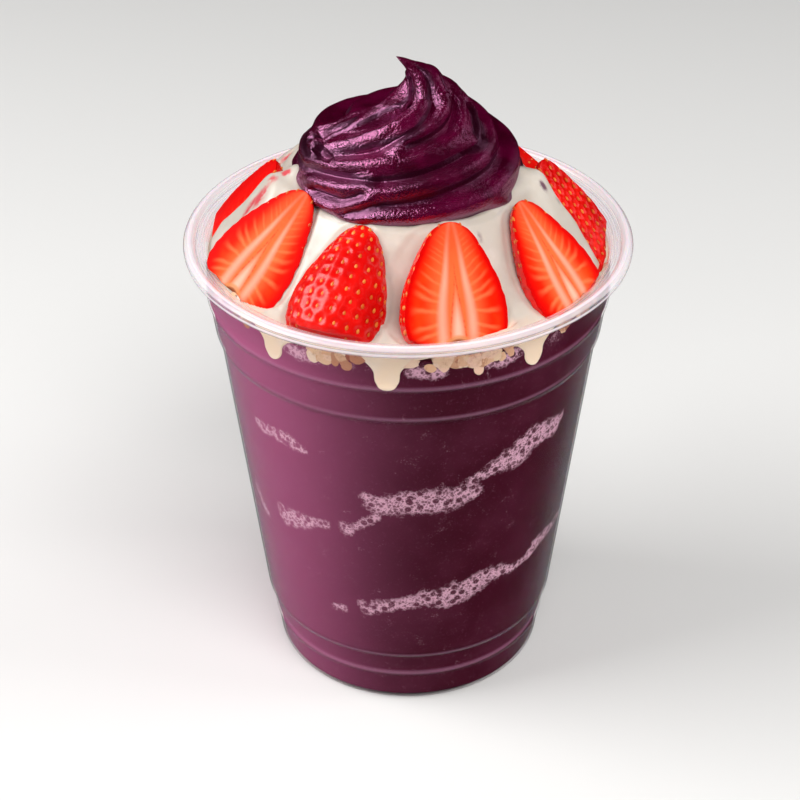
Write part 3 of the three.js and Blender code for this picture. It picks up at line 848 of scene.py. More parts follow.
def flesh_finish():
    made, place = finish("strawberry_flesh", colour(240, 40, 10), 0.55, Specular_IOR_Level=0.06,
                         **JUICY)
    cut_place = stored(place, "cut_place", "Vector")
    signed, along = axis(cut_place, 0), axis(cut_place, 1)
    across, edge = abs(signed), stored(place, "cut_edge")
    patch = spots(place, 180, 2)

    outer = mixed(fade(edge, 0.6, 4.4), colour(226, 5, 2), colour(250, 36, 5))
    patchy = fade(patch, 0.4, 0.7, 0, 0.5) * fade(edge, 0.5, 3.5)
    outer = mixed(patchy, outer, colour(255, 80, 24))
    beside = across - curve_of(along, CORE_LINES)
    warm = fade(beside, 0.42, -0.02) * fade(along, 0, 0.5, 0.45, 0.95)
    flesh = mixed(warm, outer, colour(252, 112, 60))

    # fibres that fan out from the core: a random ladder of thin lines, bent towards the tip
    bend = across * fade(along, 0.2, 1.05, 0.30, -0.16)
    ladder = (along + bend) * FIBRES + calc("SIGN", signed) * OTHER_HALF + patch * 0.9
    rungs = node("TexVoronoi", {"feature": "DISTANCE_TO_EDGE", "voronoi_dimensions": "1D"},
                 out="Distance", W=ladder, Scale=1.0)
    reach = fade(beside, 0.0, 0.1) * fade(edge, 0.9, 4.0) * fade(along, 0.15, 0.7, 0.2, 0.5)
    fibre = fade(rungs, 0.0, 0.3, 1, 0) * reach
    flesh = mixed(fibre, flesh, colour(255, 136, 84))

    off_line = abs(beside) / fade(along, 0.1, 0.9, 0.032, 0.075)
    pale_line = fade(off_line, 0.0, 2.1, 1, 0) * fade(along, 0.04, 0.5, 0.15, 0.85)
    flesh = mixed(pale_line, flesh, colour(252, 168, 142))
    wedge = fade(along, 0.34, 0.95, 0.0, 0.15) - across
    dots = fade(spots(place, 1400, 2, 0.6), 0.42, 0.6, 0.2, 0.8) * fade(along, 0.28, 0.4)
    slit = fade(abs(wedge), 0.0, 0.026, 1, 0) * dots
    in_wedge = fade(wedge, -0.03, 0.13) * fade(along, 0.38, 0.8, 0, 0.95)
    flesh = mixed(slit, mixed(in_wedge, flesh, colour(252, 184, 160)), colour(222, 74, 40))

    calyx = calc("SQRT", ((1.0 - along) / 0.1) ** 2.0 + (across / 0.26) ** 2.0)
    flesh = mixed(fade(edge, 0.15, 1.3, 0.85, 0), flesh, colour(204, 3, 3))
    flesh = mixed(fade(calyx, 1.0, 1.25, 0.8, 0), flesh, colour(214, 140, 88))
    flesh = mixed(fade(calyx, 0.7, 0.95, 0.9, 0), flesh, colour(128, 60, 34))
    relief = calc("MAXIMUM", fibre, pale_line) + spots(place, 900, 3) * 0.5
    feed(made, Base_Color=flesh, Normal=bump(relief, 0.00016, 0.8))
    return made


# %% [markdown]
# The skin is smoother and shinier than the flesh, with a soft change between two reds.

# %% Wet skin
def skin_finish():
    made, place = finish("strawberry_skin", colour(225, 16, 8), 0.27, Specular_IOR_Level=0.5,
                         **JUICY)
    blush = mixed(fade(spots(place, 120, 3), 0.35, 0.7), colour(206, 6, 5), colour(240, 20, 10))
    feed(made, Base_Color=blush, Normal=bump(spots(place, 900, 3), 0.00008, 0.8))
    return made


skin, flesh = skin_finish(), flesh_finish()
for piece in berry_pieces:
    piece.data.materials.append(skin)
    piece.data.materials.append(flesh)

# %% [markdown]
# A seed is a small, plump drop about a millimetre long. One is modelled and copied to every
# pit, and all the copies are joined into one piece. Each has only a few dozen faces.

# %% One seed, copied into every pit
SEED_SIZE = (0.36, 0.56, 0.24)
SEEDS_FROM_Z, SEEDS_TO_R = 101, 43.5  # lower or farther ones are hidden


def seed_shape():
    """Points and faces of one seed at the origin, along +Y, in millimetres."""
    bpy.ops.mesh.primitive_uv_sphere_add(segments=8, ring_count=6, radius=1.0)
    one = bpy.context.object
    points = points_of(one) * MM
    points[:, 0] *= 1 - 0.35 * np.clip(points[:, 1], 0, 1)
    faces = [tuple(f.vertices) for f in one.data.polygons]
    bpy.data.objects.remove(one)
    return points * SEED_SIZE, faces


def all_seeds():
    points, faces = seed_shape()
    every_point, every_face, tone = [], [], []
    dice = random.Random(7)
    for spot, out, ahead in berry_seeds:
        if spot[2] < SEEDS_FROM_Z or math.hypot(spot[0], spot[1]) > SEEDS_TO_R:
            continue
        z_axis = (out - spot) / np.linalg.norm(out - spot)
        y_axis = ahead - spot
        y_axis = y_axis - z_axis * (y_axis @ z_axis)
        y_axis /= np.linalg.norm(y_axis)
        axes = np.stack([np.cross(y_axis, z_axis), y_axis, z_axis])
        start = len(points) * len(every_point)
        every_point.append(pressed(points * dice.uniform(0.85, 1.15) @ axes + spot))
        every_face += [[i + start for i in face] for face in faces]
        tone += [dice.random()] * len(points)
    mesh = bpy.data.meshes.new("strawberry_seeds")
    mesh.from_pydata((np.concatenate(every_point) * MM).tolist(), [], every_face)
    piece = bpy.data.objects.new("strawberry_seeds", mesh)
    bpy.context.scene.collection.objects.link(piece)
    paint(piece, "tone", tone)
    soften(piece, 180)
    return piece


def seed_finish():
    made, place = finish("strawberry_seed", colour(226, 130, 52), 0.32, Specular_IOR_Level=0.5)
    feed(made, Base_Color=mixed(stored(place, "tone"), colour(196, 78, 20), colour(230, 134, 54)))
    return made


seeds_piece = all_seeds()
seeds_piece.data.materials.append(seed_finish())

# %% [markdown]
# ## The cream
# The mound is a grid laid over the height curve and pushed down under each strawberry, so the
# cream seems to close round the fruit. At the wall it turns down and ends on the granola. Five
# drips have run further. They are flat against the wall and rounded at their edges, so each is
# a flattened tube whose outer side follows the wall.

# %% The mound
CREAM_WALL = 0.22
CREAM_FOOT_Z = 100.0
CREAM_HOLE_R = 12
CREAM_COLUMNS, CREAM_ROWS = 420, 150
TOP_SHARE = 0.86  # share of the rows on top; the rest go down the wall and in below
# where cream was pushed up between a tip and the swirl: azimuth, radius, rise and reach
SHOULDERS = [(-80, 25.0, 5.4, 5.5), (-112, 27, 4.6, 5.5), (80, 25.5, 5.0, 5.5)]
VEIL_THICK, VEIL_REACH, VEIL_ABOVE_TIP = 1.05, 12, 1.6
SETTLING = 36
CREAM_WAVES = [(0.75, 11, 21), (0.28, 5, 22)]  # height, size and seed
DIMPLE_WIDE, DIMPLE_NARROW = 2.2, 0.8


def veil_height(x, y, berry):
    """Height of the cream that lies over the inner part of a cut face."""
    plane, local, t, half = face_over(x, y, berry)
    wave = 0.7 * np.sin(t * 11 + berry["azimuth"])
    inner = np.interp(t, [0, 0.5, 1], berry["edge"]) + wave + local[:, 0] * berry["veil"]
    side = 1 - np.clip(inner, 0, 3) / 3
    cover = 0.15 + VEIL_THICK * np.sqrt(np.maximum(1 - side ** 2, 0))
    ahead = np.maximum(local[:, 1], 0)
    beyond = np.hypot(np.maximum(np.abs(local[:, 0]) - half, 0), ahead)
    lift = cover - 0.1 * beyond - 0.04 * beyond ** 2 - 8 * smooth_step(0.9, 1.05, t)
    height = np.minimum(plane + lift, BERRY_TIP[1] + VEIL_ABOVE_TIP - 0.2 * ahead)
    return np.where((inner > 0) & (beyond < VEIL_REACH), height, -1e3)


def settled(z, radius, azimuth):
    """Thick cream has no sharp folds: heights round the veils are averaged many times."""
    even = z.reshape(CREAM_ROWS + 1, CREAM_COLUMNS + 1)
    for step in range(SETTLING):
        wide = np.pad(even, ((1, 1), (0, 0)), "edge")
        even = (wide[:-2] + 2 * even + wide[2:]) / 4
        if step % 3 == 0:
            ring = even[:, :-1]
            ring = (np.roll(ring, 1, 1) + 2 * ring + np.roll(ring, -1, 1)) / 4
            even = np.concatenate([ring, ring[:, :1]], axis=1)
    share = smooth_step(20.5, 23, radius) * (1 - smooth_step(36, 40, radius))
    near = [1 - smooth_step(24, 34, np.abs((azimuth - berry["azimuth"] + 180) % 360 - 180))
            for berry in BERRIES if berry["strip"]]
    return z + share * np.max(near, axis=0) * (even.ravel() - z)


def cream_surface(u, v):
    azimuth = u * 360
    edge = inner_radius(102) + CREAM_WALL
    radius = CREAM_HOLE_R + (edge - CREAM_HOLE_R) * np.minimum(v / TOP_SHARE, 1)
    x, y, _ = polar(radius, azimuth, 0)
    where = np.stack([x, y, 0 * x], axis=1)
    soft = smooth_step(18, 26, radius) * (1 - smooth_step(38, 42, radius))
    z = cream_height(radius) + soft * sum(h * waves(where, *wave) for h, *wave in CREAM_WAVES)
    flat = np.stack([x, y, z], axis=1)
    for turn, middle, rise, reach in SHOULDERS:
        cx, cy, _ = polar(middle, turn, 0)
        z = z + rise * np.exp(-((x - cx) ** 2 + (y - cy) ** 2) / reach ** 2)
    for berry in BERRIES:
        local = own_place(flat, berry)
        t = np.clip(-local[:, 1] / berry["length"], 0, 1)
        gap = np.abs(local[:, 0]) - berry["width"] / 2 * outline_at(t)
        away = np.hypot(np.maximum(gap, 0), np.maximum(local[:, 1], 0))
        rise = np.exp(-(away / DIMPLE_WIDE) ** 2) - 1.2 * np.exp(-(away / DIMPLE_NARROW) ** 2)
        z = z + np.where(radius > 18, 0.55 * rise, 0)
        if berry["veil"]:
            z = higher_of(lower_of(z, clear_height(x, y, berry)), veil_height(x, y, berry))
    z = settled(z, radius, azimuth)
    for berry in BERRIES:
        if not berry["veil"] and berry["side"] < 0:
            z = lower_of(z, clear_height(x, y, berry))
    lower = np.clip((v - TOP_SHARE) / (1 - TOP_SHARE), 0, 1)
    foot = CREAM_FOOT_Z + 0.8 * waves(where, 7, 23)
    z = np.where(v < TOP_SHARE, z, z + (foot - z) * np.minimum(lower / 0.6, 1))
    return polar(radius - 15 * np.maximum(lower - 0.6, 0), azimuth, z)


mound = laid("cream_mound", CREAM_COLUMNS, CREAM_ROWS, cream_surface)

# %% [markdown]
# A drip is widest at its top, where it leaves the mound, and round at its lower end.

# %% The drips
# azimuth, height of the end, and width
DRIPS = [(-6.0, 92.4, 6.0), (-40.0, 93.8, 5.6), (36.0, 93.4, 5.4), (158.0, 95.4, 5.4),
         (-161.0, 93.8, 5.8)]
DRIP_TOP, DRIP_FLARE, DRIP_DEPTH = 101.6, 4.8, 1.1


def drip(azimuth, tip, width):
    """A tongue of cream inside the wall, widening at its top."""
    def surface(u, v):
        below = (DRIP_TOP - tip) * (1 - v)
        half = width / 2
        round_end = np.sqrt(np.clip(1 - (1 - below / half) ** 2, 0, 1))
        across = half * np.where(below < half, round_end, 1)
        flare = smooth_step(0.35 * (DRIP_TOP - tip), DRIP_TOP - tip, below) ** 1.2
        across = across + DRIP_FLARE * flare
        angle = u * 2 * math.pi
        depth = DRIP_DEPTH * np.minimum(1, across / 1.6)
        inset = depth * np.clip(0.5 - 0.75 * np.sin(angle), 0, 1.25)
        radius = inner_radius(tip + below) + 0.3 - inset
        turn = azimuth + np.degrees(across * np.cos(angle) / radius)
        return polar(radius, turn, tip + below)
    return laid("drip", 56, 60, surface)


cream = join([mound] + [drip(*d) for d in DRIPS], "sweet_cream")
soften(cream, 60)

# %% [markdown]
# Thick sweet cream is a warm white with a soft gloss. It is painted lighter and warmer below the
# wall's top, where the drips lie, and greyer on the mound: painted light that makes up for how
# much light each part gets. Where it touches the fruit and the sorbet it takes on their colour,
# so pink and purple smudges are stored on its points.

# %% Smudges and the cream's finish
# azimuth, radius, size and strength
JUICE_SMUDGES = [(-78, 25.6, 1.2, 0.85), (-77, 28.6, 1.6, 0.6), (-75, 31.4, 1.9, 0.8),
                 (-78, 33.4, 1.7, 0.85), (-96, 35.5, 1.8, 0.5), (-44, 29, 1.3, 0.25),
                 (36, 28, 1.2, 0.2), (116, 31, 2.6, 0.5), (152, 30, 2.2, 0.6),
                 (-166, 31, 2.6, 0.5), (-118, 29, 2.2, 0.6)]
PURPLE_SMUDGES = [(88, 26.2, 1.5, 0.7), (75, 28.6, 0.9, 0.9), (96, 27.0, 0.8, 0.6),
                  (78, 31.6, 0.8, 0.35), (33, 26.0, 1.1, 0.4), (150, 26.0, 2.0, 0.8),
                  (-150, 26.0, 2.0, 0.7), (104, 26.5, 1.6, 0.7)]


def smudge_amount(points, smudges):
    """How much of a stain each point has, from 0 to 1."""
    amount = np.zeros(len(points))
    for azimuth, radius, size, strength in smudges:
        x, y, _ = polar(radius, azimuth, 0)
        away = np.hypot(points[:, 0] - x, points[:, 1] - y) / size
        amount = np.maximum(amount, strength * np.exp(-away ** 2))
    return amount


def cream_finish():
    made, place = finish("sweet_cream", colour(240, 228, 206), 0.30, Specular_IOR_Level=0.45,
                         Subsurface_Weight=0.3, Subsurface_Scale=0.0015,
                         Subsurface_Radius=(1.0, 0.8, 0.55), Coat_Weight=0.15,
                         Coat_Roughness=0.2)
    # painted light: drips inside the wall are painted lighter and warmer, the mound's top greyer
    base = mixed(fade(axis(place, 2), 0.1005, 0.103, 1, 0), colour(203, 193, 181),
                 colour(248, 222, 194))
    base = mixed(fade(spots(place, 130, 3), 0.45, 0.75, 0, 0.35), base, colour(246, 238, 228))
    wisps = spots(node("Mapping", Vector=place, Scale=(1, 1, 0.4)), 420, 4, 0.7)
    for name, tint in (("juice", colour(214, 66, 78)), ("purple", colour(92, 28, 66))):
        torn = stored(place, name) * fade(wisps, 0.3, 0.62, 0.35, 1.3)
        base = mixed(fade(torn, 0.12, 0.75, 0, 0.92), base, tint)
    feed(made, Base_Color=base, Normal=bump(spots(place, 260, 3), 0.0002, 0.4))
    return made


paint(cream, "juice", smudge_amount(points_of(cream), JUICE_SMUDGES))
paint(cream, "purple", smudge_amount(points_of(cream), PURPLE_SMUDGES))
cream.data.materials.append(cream_finish())

# %% [markdown]
# ## The granola
# Toasted oat clusters press against the wall between the cream and the sorbet. One cluster is a
# handful of flakes and crumbs stuck together. Each bit is a small squashed ball with an uneven
# surface. They are scattered round the wall and joined into one piece.

# %% Clusters of oats
# azimuth, height and number of bits
CLUSTERS = [(-71, 99.2, 7), (-55, 99.8, 5), (-26, 98.2, 8), (-19, 98.3, 8), (-14, 99.4, 4),
            (9, 98.6, 7), (14, 97.6, 8), (20, 97.4, 8), (25, 98.6, 5), (49, 98.8, 8),
            (57, 99.3, 8), (66, 99.6, 6)]
CLUSTERS += [(a, 98.4 + 0.8 * math.sin(a), 6) for a in range(78, 284, 9)]
BIT_INTO_WALL, BIT_SOFT = 0.28, 0.12


def crumb(dice, azimuth, height, size):
    """One bit of a cluster: a squashed, uneven ball pressed against the wall."""
    bpy.ops.mesh.primitive_ico_sphere_add(subdivisions=3, radius=1.0)
    bit = bpy.context.object
    ball = points_of(bit) * MM
    seed = dice.randrange(10000)
    ball *= (1 + 0.12 * waves(ball, 1.1, seed) + 0.05 * waves(ball, 0.4, seed + 1))[:, None]
    ball *= [size * dice.uniform(0.8, 1.25), size * dice.uniform(0.4, 0.65), size * 0.75]
    tilt, spin = dice.uniform(0, math.pi), math.radians(azimuth + dice.uniform(-25, 25))
    middle = polar(inner_radius(98) - size * 0.2, azimuth, height)
    points = rotated(rotated(ball, 1, tilt), 2, spin) + middle
    within(points, inner_radius(points[:, 2]) + BIT_INTO_WALL, BIT_SOFT)
    place_points(bit, points)
    paint(bit, "tone", np.full(len(points), dice.random()))
    return bit


dice, bits = random.Random(11), []
for azimuth, height, count in CLUSTERS:
    for i in range(count):
        spread_a, spread_z = dice.gauss(0, 2.4), dice.gauss(0, 0.6)
        bits.append(crumb(dice, azimuth + spread_a, height + spread_z, dice.uniform(1.1, 2.4)))
print("granola bits:", len(bits))
granola = join(bits, "granola_clusters")
soften(granola, 180)


# %% [markdown]
# Every bit stored one number, its tone. A colour ramp turns it into a shade of toasting.

# %% The granola's finish
TOASTED = [(0.0, (164, 84, 66)), (0.12, (198, 136, 104)), (0.3, (232, 184, 146)),
           (0.6, (242, 206, 172)), (0.85, (244, 200, 176)), (1.0, (246, 220, 192))]


def granola_finish():
    made, place = finish("granola", colour(190, 140, 92), 0.6, Specular_IOR_Level=0.4,
                         Subsurface_Weight=0.1, Subsurface_Scale=0.001)
    tones = node("ValToRGB", Fac=stored(place, "tone"))
    stops = tones.socket.node.color_ramp.elements
    for position, _ in TOASTED[1:-1]:
        stops.new(position)
    for stop, (_, tint) in zip(stops, TOASTED):
        stop.color = colour(*tint)
    speck = fade(spots(place, 700, 4, 0.7), 0.5, 0.72, 0, 0.5)
    feed(made, Base_Color=mixed(speck, tones, colour(176, 104, 80)),
         Normal=bump(spots(place, 1100, 4, 0.7), 0.0003, 0.7))
    return made


granola.data.materials.append(granola_finish())

# %% [markdown]
# ## The swirl
# Soft sorbet was piped through a star nozzle while the cup was turned. It climbs in thick
# ridges with sharp valleys between them, and its end was pulled up into a tip that curls to
# the left. The whole is a smooth dome into which sharp grooves are sunk: the skin lies deeper
# the nearer it is to a groove. It falls gently from above and bulges over the groove from
# below, so that each ridge seems to hang over the next one. A fine grid is laid over that.

# %% Envelope and grooves of the swirl
# radius, height and shift to the right
SWIRL_STATIONS = [
    (24.0, 118.0, 0), (24.1, 120.6, 0), (23.6, 122.8, 0), (22.2, 125.2, 0), (19.9, 128, -0.5),
    (17.6, 130.5, -0.8), (15.4, 132.6, -0.8), (12.4, 135, 0), (9.2, 137.3, 1.4),
    (6.2, 139.0, 2.4), (4.7, 140.6, 2.6), (3.5, 142.2, 2.0), (2.2, 143.5, 0.6),
    (1.0, 144.4, -1.0), (0.02, 144.8, -2.4),
]
SWIRL_FLOOR = 117.2
# bottoms of the grooves between the ridges: azimuth and height along each
GROOVES = [
    [(0, 117.4), (90, 117.4), (180, 117.4), (270, 117.4), (360, 117.4)],
    [(-31, 120.1), (-26, 121.3), (-22, 122.2), (-15, 123.2), (-5, 123.9), (5, 124.5),
     (16, 125.2), (27, 125.7), (41, 126.1), (53, 126.5), (65, 126.9), (77, 127.2),
     (88, 127.5), (130, 128.4), (180, 129.8), (230, 131.2), (262, 132.2)],
    [(-56, 121.6), (-50, 122.0), (-42, 122.3), (-34, 122.8), (-29, 123.7), (-25, 124.6)],
    [(-150, 119.6), (-110, 122.3), (-90, 123.4), (-72, 124.4), (-63, 125.2), (-48, 126.2),
     (-38, 126.7), (-19, 127.2), (-7, 127.7), (4, 128.2), (16, 128.8), (31, 129.4),
     (44, 129.8), (55, 130.1), (66, 130.6), (76, 131.2), (84, 132.1), (120, 133.2),
     (180, 135.0), (230, 136.5), (258, 137.0)],
    [(60, 119.4), (93, 121.0), (130, 122.3), (180, 123.8), (230, 125.2), (270, 126.2),
     (288, 126.8), (299, 128.1), (309, 129.4), (320, 130.7), (330, 131.6), (340, 132.5),
     (350, 133.4), (360, 134.3), (370, 135.2), (379, 136.6), (386, 138.0), (390, 139.4),
     (392, 141.3), (400, 143.1)],
    [(60, 130.6), (62, 131.8), (71, 132.7), (81, 133.8), (92, 135.0)],
    [(4, 132.9), (14, 133.4), (27, 134.1), (42, 134.9), (54, 135.8), (64, 136.8),
     (72, 138.0), (77, 139.3), (84, 141.0)],
    [(-82, 128.2), (-82, 129.7), (-74, 131.9), (-68, 133.5)],
    [(-70, 127.6), (-72, 129.2), (-70, 131.0), (-64, 132.6), (-54, 133.8), (-50, 134.8),
     (-46, 135.7), (-36, 136.5), (-26, 137.3), (-22, 138.0), (-23, 138.8), (-42, 140.1),
     (-76, 141.8)],
]
ROUNDNESS, DEEPEST, FULLNESS = 0.9, 3.5, 1.6
TIP_TAPER = 9  # the grooves get shallower over this last height
# the last groove has a wide hollow above it, between the top ridge and the back
SCOOP = dict(groove=8, depth=2.2, width=5.0)
SADDLE = dict(azimuth=245, height=135.5, turn=95, rise=7, depth=2.8)
swirl_r, swirl_z, swirl_shift = zip(*SWIRL_STATIONS)


# %% [markdown]
# The dome needs a smooth line through its stations, and each groove a fine path on the dome.
# The distance from a point of the skin to the nearest path decides how deep the point lies.

# %% Lines on the dome
def soft_curve(stations, share):
    """A smooth line through the stations, at shares of its length."""
    stations = np.array(stations, float)
    steps = np.hypot(*np.diff(stations[:, :2], axis=0).T)
    along = np.concatenate([[0], np.cumsum(steps)]) / steps.sum()
    slopes = np.gradient(stations, along, axis=0)
    i = np.clip(np.searchsorted(along, share, side="right") - 1, 0, len(along) - 2)
    width = (along[i + 1] - along[i])[:, None]
    t = ((share - along[i]) / (along[i + 1] - along[i]))[:, None]
    return ((2 * t ** 3 - 3 * t ** 2 + 1) * stations[i] + (t ** 3 - 2 * t ** 2 + t) * width
            * slopes[i] + (3 * t ** 2 - 2 * t ** 3) * stations[i + 1]
            + (t ** 3 - t ** 2) * width * slopes[i + 1])


def on_envelope(azimuth, height):
    """Points of the plain dome at these azimuths and heights."""
    return np.stack(polar(np.interp(height, swirl_z, swirl_r), azimuth, height), axis=-1)


def path_of(groove):
    """A groove's knots as a fine line of points on the dome."""
    azimuth, height = np.array(groove, float).T
    count = int(np.abs(np.diff(azimuth)).sum() / 5 + np.abs(np.diff(height)).sum()) + 2
    along = np.linspace(0, len(azimuth) - 1, max(count, 4))
    knots = np.arange(len(azimuth))
    return on_envelope(np.interp(along, knots, azimuth), np.interp(along, knots, height))


def distance_to(path, points):
    """Distance of each point to a line of points, and how much higher the point is."""
    best = np.full(len(points), 1e9)
    above = np.zeros(len(points))
    for a, b in zip(path, path[1:]):
        t = np.clip((points - a) @ (b - a) / ((b - a) @ (b - a)), 0, 1)
        nearest = a + t[:, None] * (b - a)
        away = np.linalg.norm(points - nearest, axis=1)
        closer = away < best
        above = np.where(closer, points[:, 2] - nearest[:, 2], above)
        best = np.where(closer, away, best)
    return best, above


# %% [markdown]
# Between two grooves the skin is round. The nearest and the second nearest groove tell how wide
# the ridge is there, and so how deep its valley may be. Towards the tip all of it gets finer.

# %% How deep the valleys are
def valley_depth(azimuth, height):
    """How deep the skin lies under the dome; also how near to a groove it is, 1 in it."""
    points = on_envelope(azimuth, height)
    away, higher = [], []
    for number, groove in enumerate(GROOVES):
        one, above = distance_to(path_of(groove), points)
        away.append(one)
        higher.append(above)
        if number == SCOOP["groove"]:
            scoop = SCOOP["depth"] * np.exp(-(one / SCOOP["width"]) ** 2) * (above > 0)
    away, higher = np.stack(away), np.stack(higher)
    above = np.take_along_axis(higher, away.argmin(axis=0)[None], 0)[0]
    away = np.sort(away, axis=0)
    width = np.maximum((away[0] + away[1]) / 2, 0.3)
    side = np.clip(away[0] / width, 0, 1)
    taper = np.clip((swirl_z[-2] + 1.5 - height) / TIP_TAPER, 0.15, 1)
    deepest = np.minimum(ROUNDNESS * width, DEEPEST) * taper
    bulge = 1 - np.maximum(1 - (1 - side) ** FULLNESS, 0) ** (1 / FULLNESS)
    gentle = (1 - side) ** 1.7
    depth = deepest * (bulge + (gentle - bulge) * smooth_step(0.1, -0.5, above))
    turn = np.abs((azimuth - SADDLE["azimuth"] + 540) % 360 - 180) / SADDLE["turn"]
    rise = np.abs(height - SADDLE["height"]) / SADDLE["rise"]
    hollow = (1 - np.minimum(turn, 1) ** 2) * (1 - np.minimum(rise, 1) ** 2)
    return depth + np.maximum(SADDLE["depth"] * hollow, scoop), np.exp(-away[0] / 0.8)


# %% [markdown]
# The grid is laid over the dome, each point is moved in by its depth, and a faint ripple is
# added. A few rounds of smoothing take the last hard folds out.

# %% The swirl
SWIRL_COLUMNS, SWIRL_ROWS = 400, 248
FLOOR_SHARE, FLOOR_R = 0.05, 23.4  # share of the rows in the flat underside, and its radius
SHORT_WAY = 0.004


def swirl_surface(u, v):
    share = np.clip((v - FLOOR_SHARE) / (1 - FLOOR_SHARE), 0, 1)
    line = soft_curve(SWIRL_STATIONS, share)
    ahead = soft_curve(SWIRL_STATIONS, np.minimum(share + SHORT_WAY, 1))
    behind = soft_curve(SWIRL_STATIONS, np.maximum(share - SHORT_WAY, 0))
    tangent = (ahead - behind)[:, :2]
    tangent /= np.maximum(np.linalg.norm(tangent, axis=1), 1e-9)[:, None]
    azimuth = u * 360
    radius, height, shift = line.T
    depth, _ = valley_depth(azimuth, height)
    fade_in = smooth_step(1.0, 0.93, share)
    out = np.maximum(radius - depth * tangent[:, 1] * fade_in, 0.02 + 0.25 * fade_in)
    z = height + depth * tangent[:, 0] * fade_in
    x, y, _ = polar(out, azimuth, 0)
    where = np.stack([x, y, z], axis=1)
    ripple = 0.07 * waves(where * [1, 1, 2.2], 3.2, 31) + 0.05 * waves(where, 1.5, 32)
    out = np.maximum(out + ripple * fade_in, 0.02)
    below = v < FLOOR_SHARE
    out = np.where(below, v / FLOOR_SHARE * FLOOR_R, out)
    z = np.where(below, SWIRL_FLOOR, z)
    x, y, z = polar(out, azimuth, z)
    return x + np.where(below, 0, shift), y, z


swirl = laid("piped_swirl", SWIRL_COLUMNS, SWIRL_ROWS, swirl_surface)
at = points_of(swirl)
at[:, 0] -= np.interp(at[:, 2], swirl_z, swirl_shift)
# how near each point is to a groove, kept for the painted shade in the valleys
_, crease_shade = valley_depth(np.degrees(np.arctan2(at[:, 0], -at[:, 1])) % 360, at[:, 2] + 0.6)
paint(swirl, "crease_shade", crease_shade)
bpy.ops.object.mode_set(mode="EDIT")
bpy.ops.mesh.select_all(action="SELECT")
bpy.ops.mesh.vertices_smooth(factor=0.5, repeat=4)
bpy.ops.object.mode_set(mode="OBJECT")
soften(swirl, 75)


# %% [markdown]
# The sorbet shines, and its valleys are duller than its ridges; their colour darkens towards
# each groove as painted shade. A very fine bump stands for the ice in it.

# %% The swirl's finish
def swirl_finish():
    made, place = finish("glossy_acai", colour(80, 1, 36), 0.22, IOR=2.15,
                         Specular_IOR_Level=0.9, Specular_Tint=(1.0, 0.4, 0.74, 1.0),
                         Subsurface_Weight=0.08, Subsurface_Scale=0.001,
                         Subsurface_Radius=(1.0, 0.2, 0.5))
    base = mixed(fade(spots(place, 160, 3), 0.35, 0.7), colour(62, 0, 25), colour(88, 1, 42))
    crease_shade = fade(stored(place, "crease_shade"), 0.04, 0.6, 0, 0.92)
    icy = spots(place, 420, 3, 0.6) * 0.55 + spots(place, 2000, 2, 0.6) * 0.7
    # painted shade: the colour darkens towards each groove
    feed(made, Base_Color=mixed(crease_shade, base, colour(34, 2, 15)),
         Roughness=fade(crease_shade, 0.1, 0.7, 0.22, 0.3), Normal=bump(icy, 0.0006, 0.65))
    return made


swirl.data.materials.append(swirl_finish())

# %% [markdown]
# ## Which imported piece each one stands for
# Every dressed piece rides on the part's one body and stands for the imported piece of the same
# kind. The seeds are one extra piece that stands for none.

# %% Attach the pieces to the part
def dress(piece, slot_name, *nodes):
    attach(piece, "root")
    if nodes:
        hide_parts(*nodes)


dress(cup, "plastic", "cup")
dress(sorbet, "acai", "acai")
dress(granola, "granola", "granola")
dress(cream, "cream", "cream")
dress(swirl, "swirl", "swirl")
for number, piece in enumerate(berry_pieces, 1):
    dress(piece, "berry", f"strawberry_{number}")
dress(seeds_piece, "berry")

# %% [markdown]
# ## Floor, light and camera
# The cup stands on a plain pale floor. One large soft light, the key, stands at the upper left
# and makes the broad highlights on the swirl and on the skin of the fruit. Two more fill the
# front and the right side without being mirrored. A small one at the right, a little behind the
# cup, gives the wall a bright edge.

# %% Studio
FLOOR_SIZE = 6.0
LIGHT_AIM = (0, 0, 0.1)
AIR_COLOUR, AIR_LIGHT = (0.92, 0.93, 0.95, 1), 0.12


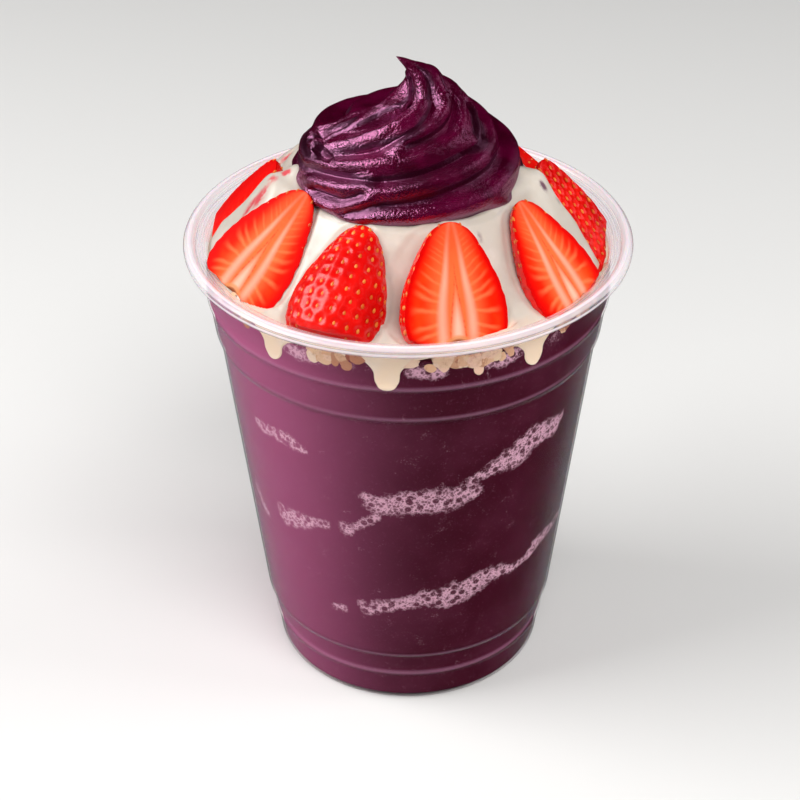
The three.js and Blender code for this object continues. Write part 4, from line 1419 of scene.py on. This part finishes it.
def soft_light(name, place, size, power, mirrored=True):
    """A rectangular soft light at place; mirrored means that gloss shows it."""
    bpy.ops.object.light_add(type="AREA", location=place)
    lamp = bpy.context.object
    lamp.name = name
    lamp.data.shape = "RECTANGLE"
    lamp.data.size, lamp.data.size_y = size
    lamp.data.energy = power
    lamp.visible_glossy = mirrored
    x, y, z = np.array(LIGHT_AIM) - place
    lamp.rotation_euler = (math.atan2(math.hypot(x, y), -z), 0, math.atan2(x, -y) + math.pi)


bpy.ops.mesh.primitive_plane_add(size=FLOOR_SIZE, location=(0, 0, 0))
floor = bpy.context.object
floor.name = "studio_floor"
floor.data.materials.append(finish("pale_floor", colour(226, 225, 223), 0.8)[0])
floor.visible_glossy = False

soft_light("key", (-0.62, -0.06, 0.58), (0.6, 0.6), 6.8)
soft_light("front", (0.2, -0.48, 0.76), (0.5, 0.4), 5.3, mirrored=False)
soft_light("side", (0.75, -0.1, 0.45), (0.3, 0.5), 2.6, mirrored=False)
soft_light("edge", (0.7, 0.25, 0.45), (0.2, 0.5), 0.5)

world = bpy.data.worlds.new("studio_air")
bpy.context.scene.world = world
world.use_nodes = True
world.cycles_visibility.glossy = False
air = world.node_tree.nodes["Background"].inputs
air["Color"].default_value, air["Strength"].default_value = AIR_COLOUR, AIR_LIGHT
bpy.context.scene.view_settings.view_transform = "Standard"
bpy.context.scene.view_settings.look = "None"

# %% [markdown]
# The camera looks down at the cup from the front, with a long lens.

# %% Camera
CAMERA_AIM = np.array([-1.8583, 0.0, 61.764])
CAMERA_DISTANCE = 460.0
CAMERA_PITCH, CAMERA_ROLL = 0.5901, 0.0042
LENS, SENSOR = 92.77, 36.0
NEAREST, FARTHEST = 0.01, 20

away = np.array([0, -math.cos(CAMERA_PITCH), math.sin(CAMERA_PITCH)])
bpy.ops.object.camera_add()
camera = bpy.context.object
camera.data.sensor_width, camera.data.lens = SENSOR, LENS
camera.data.clip_start, camera.data.clip_end = NEAREST, FARTHEST
camera.location = (CAMERA_AIM + CAMERA_DISTANCE * away) * MM
camera.rotation_mode = "ZYX"  # turned about its own line of sight first
camera.rotation_euler = (math.pi / 2 - CAMERA_PITCH, 0, -CAMERA_ROLL)
bpy.context.scene.camera = camera
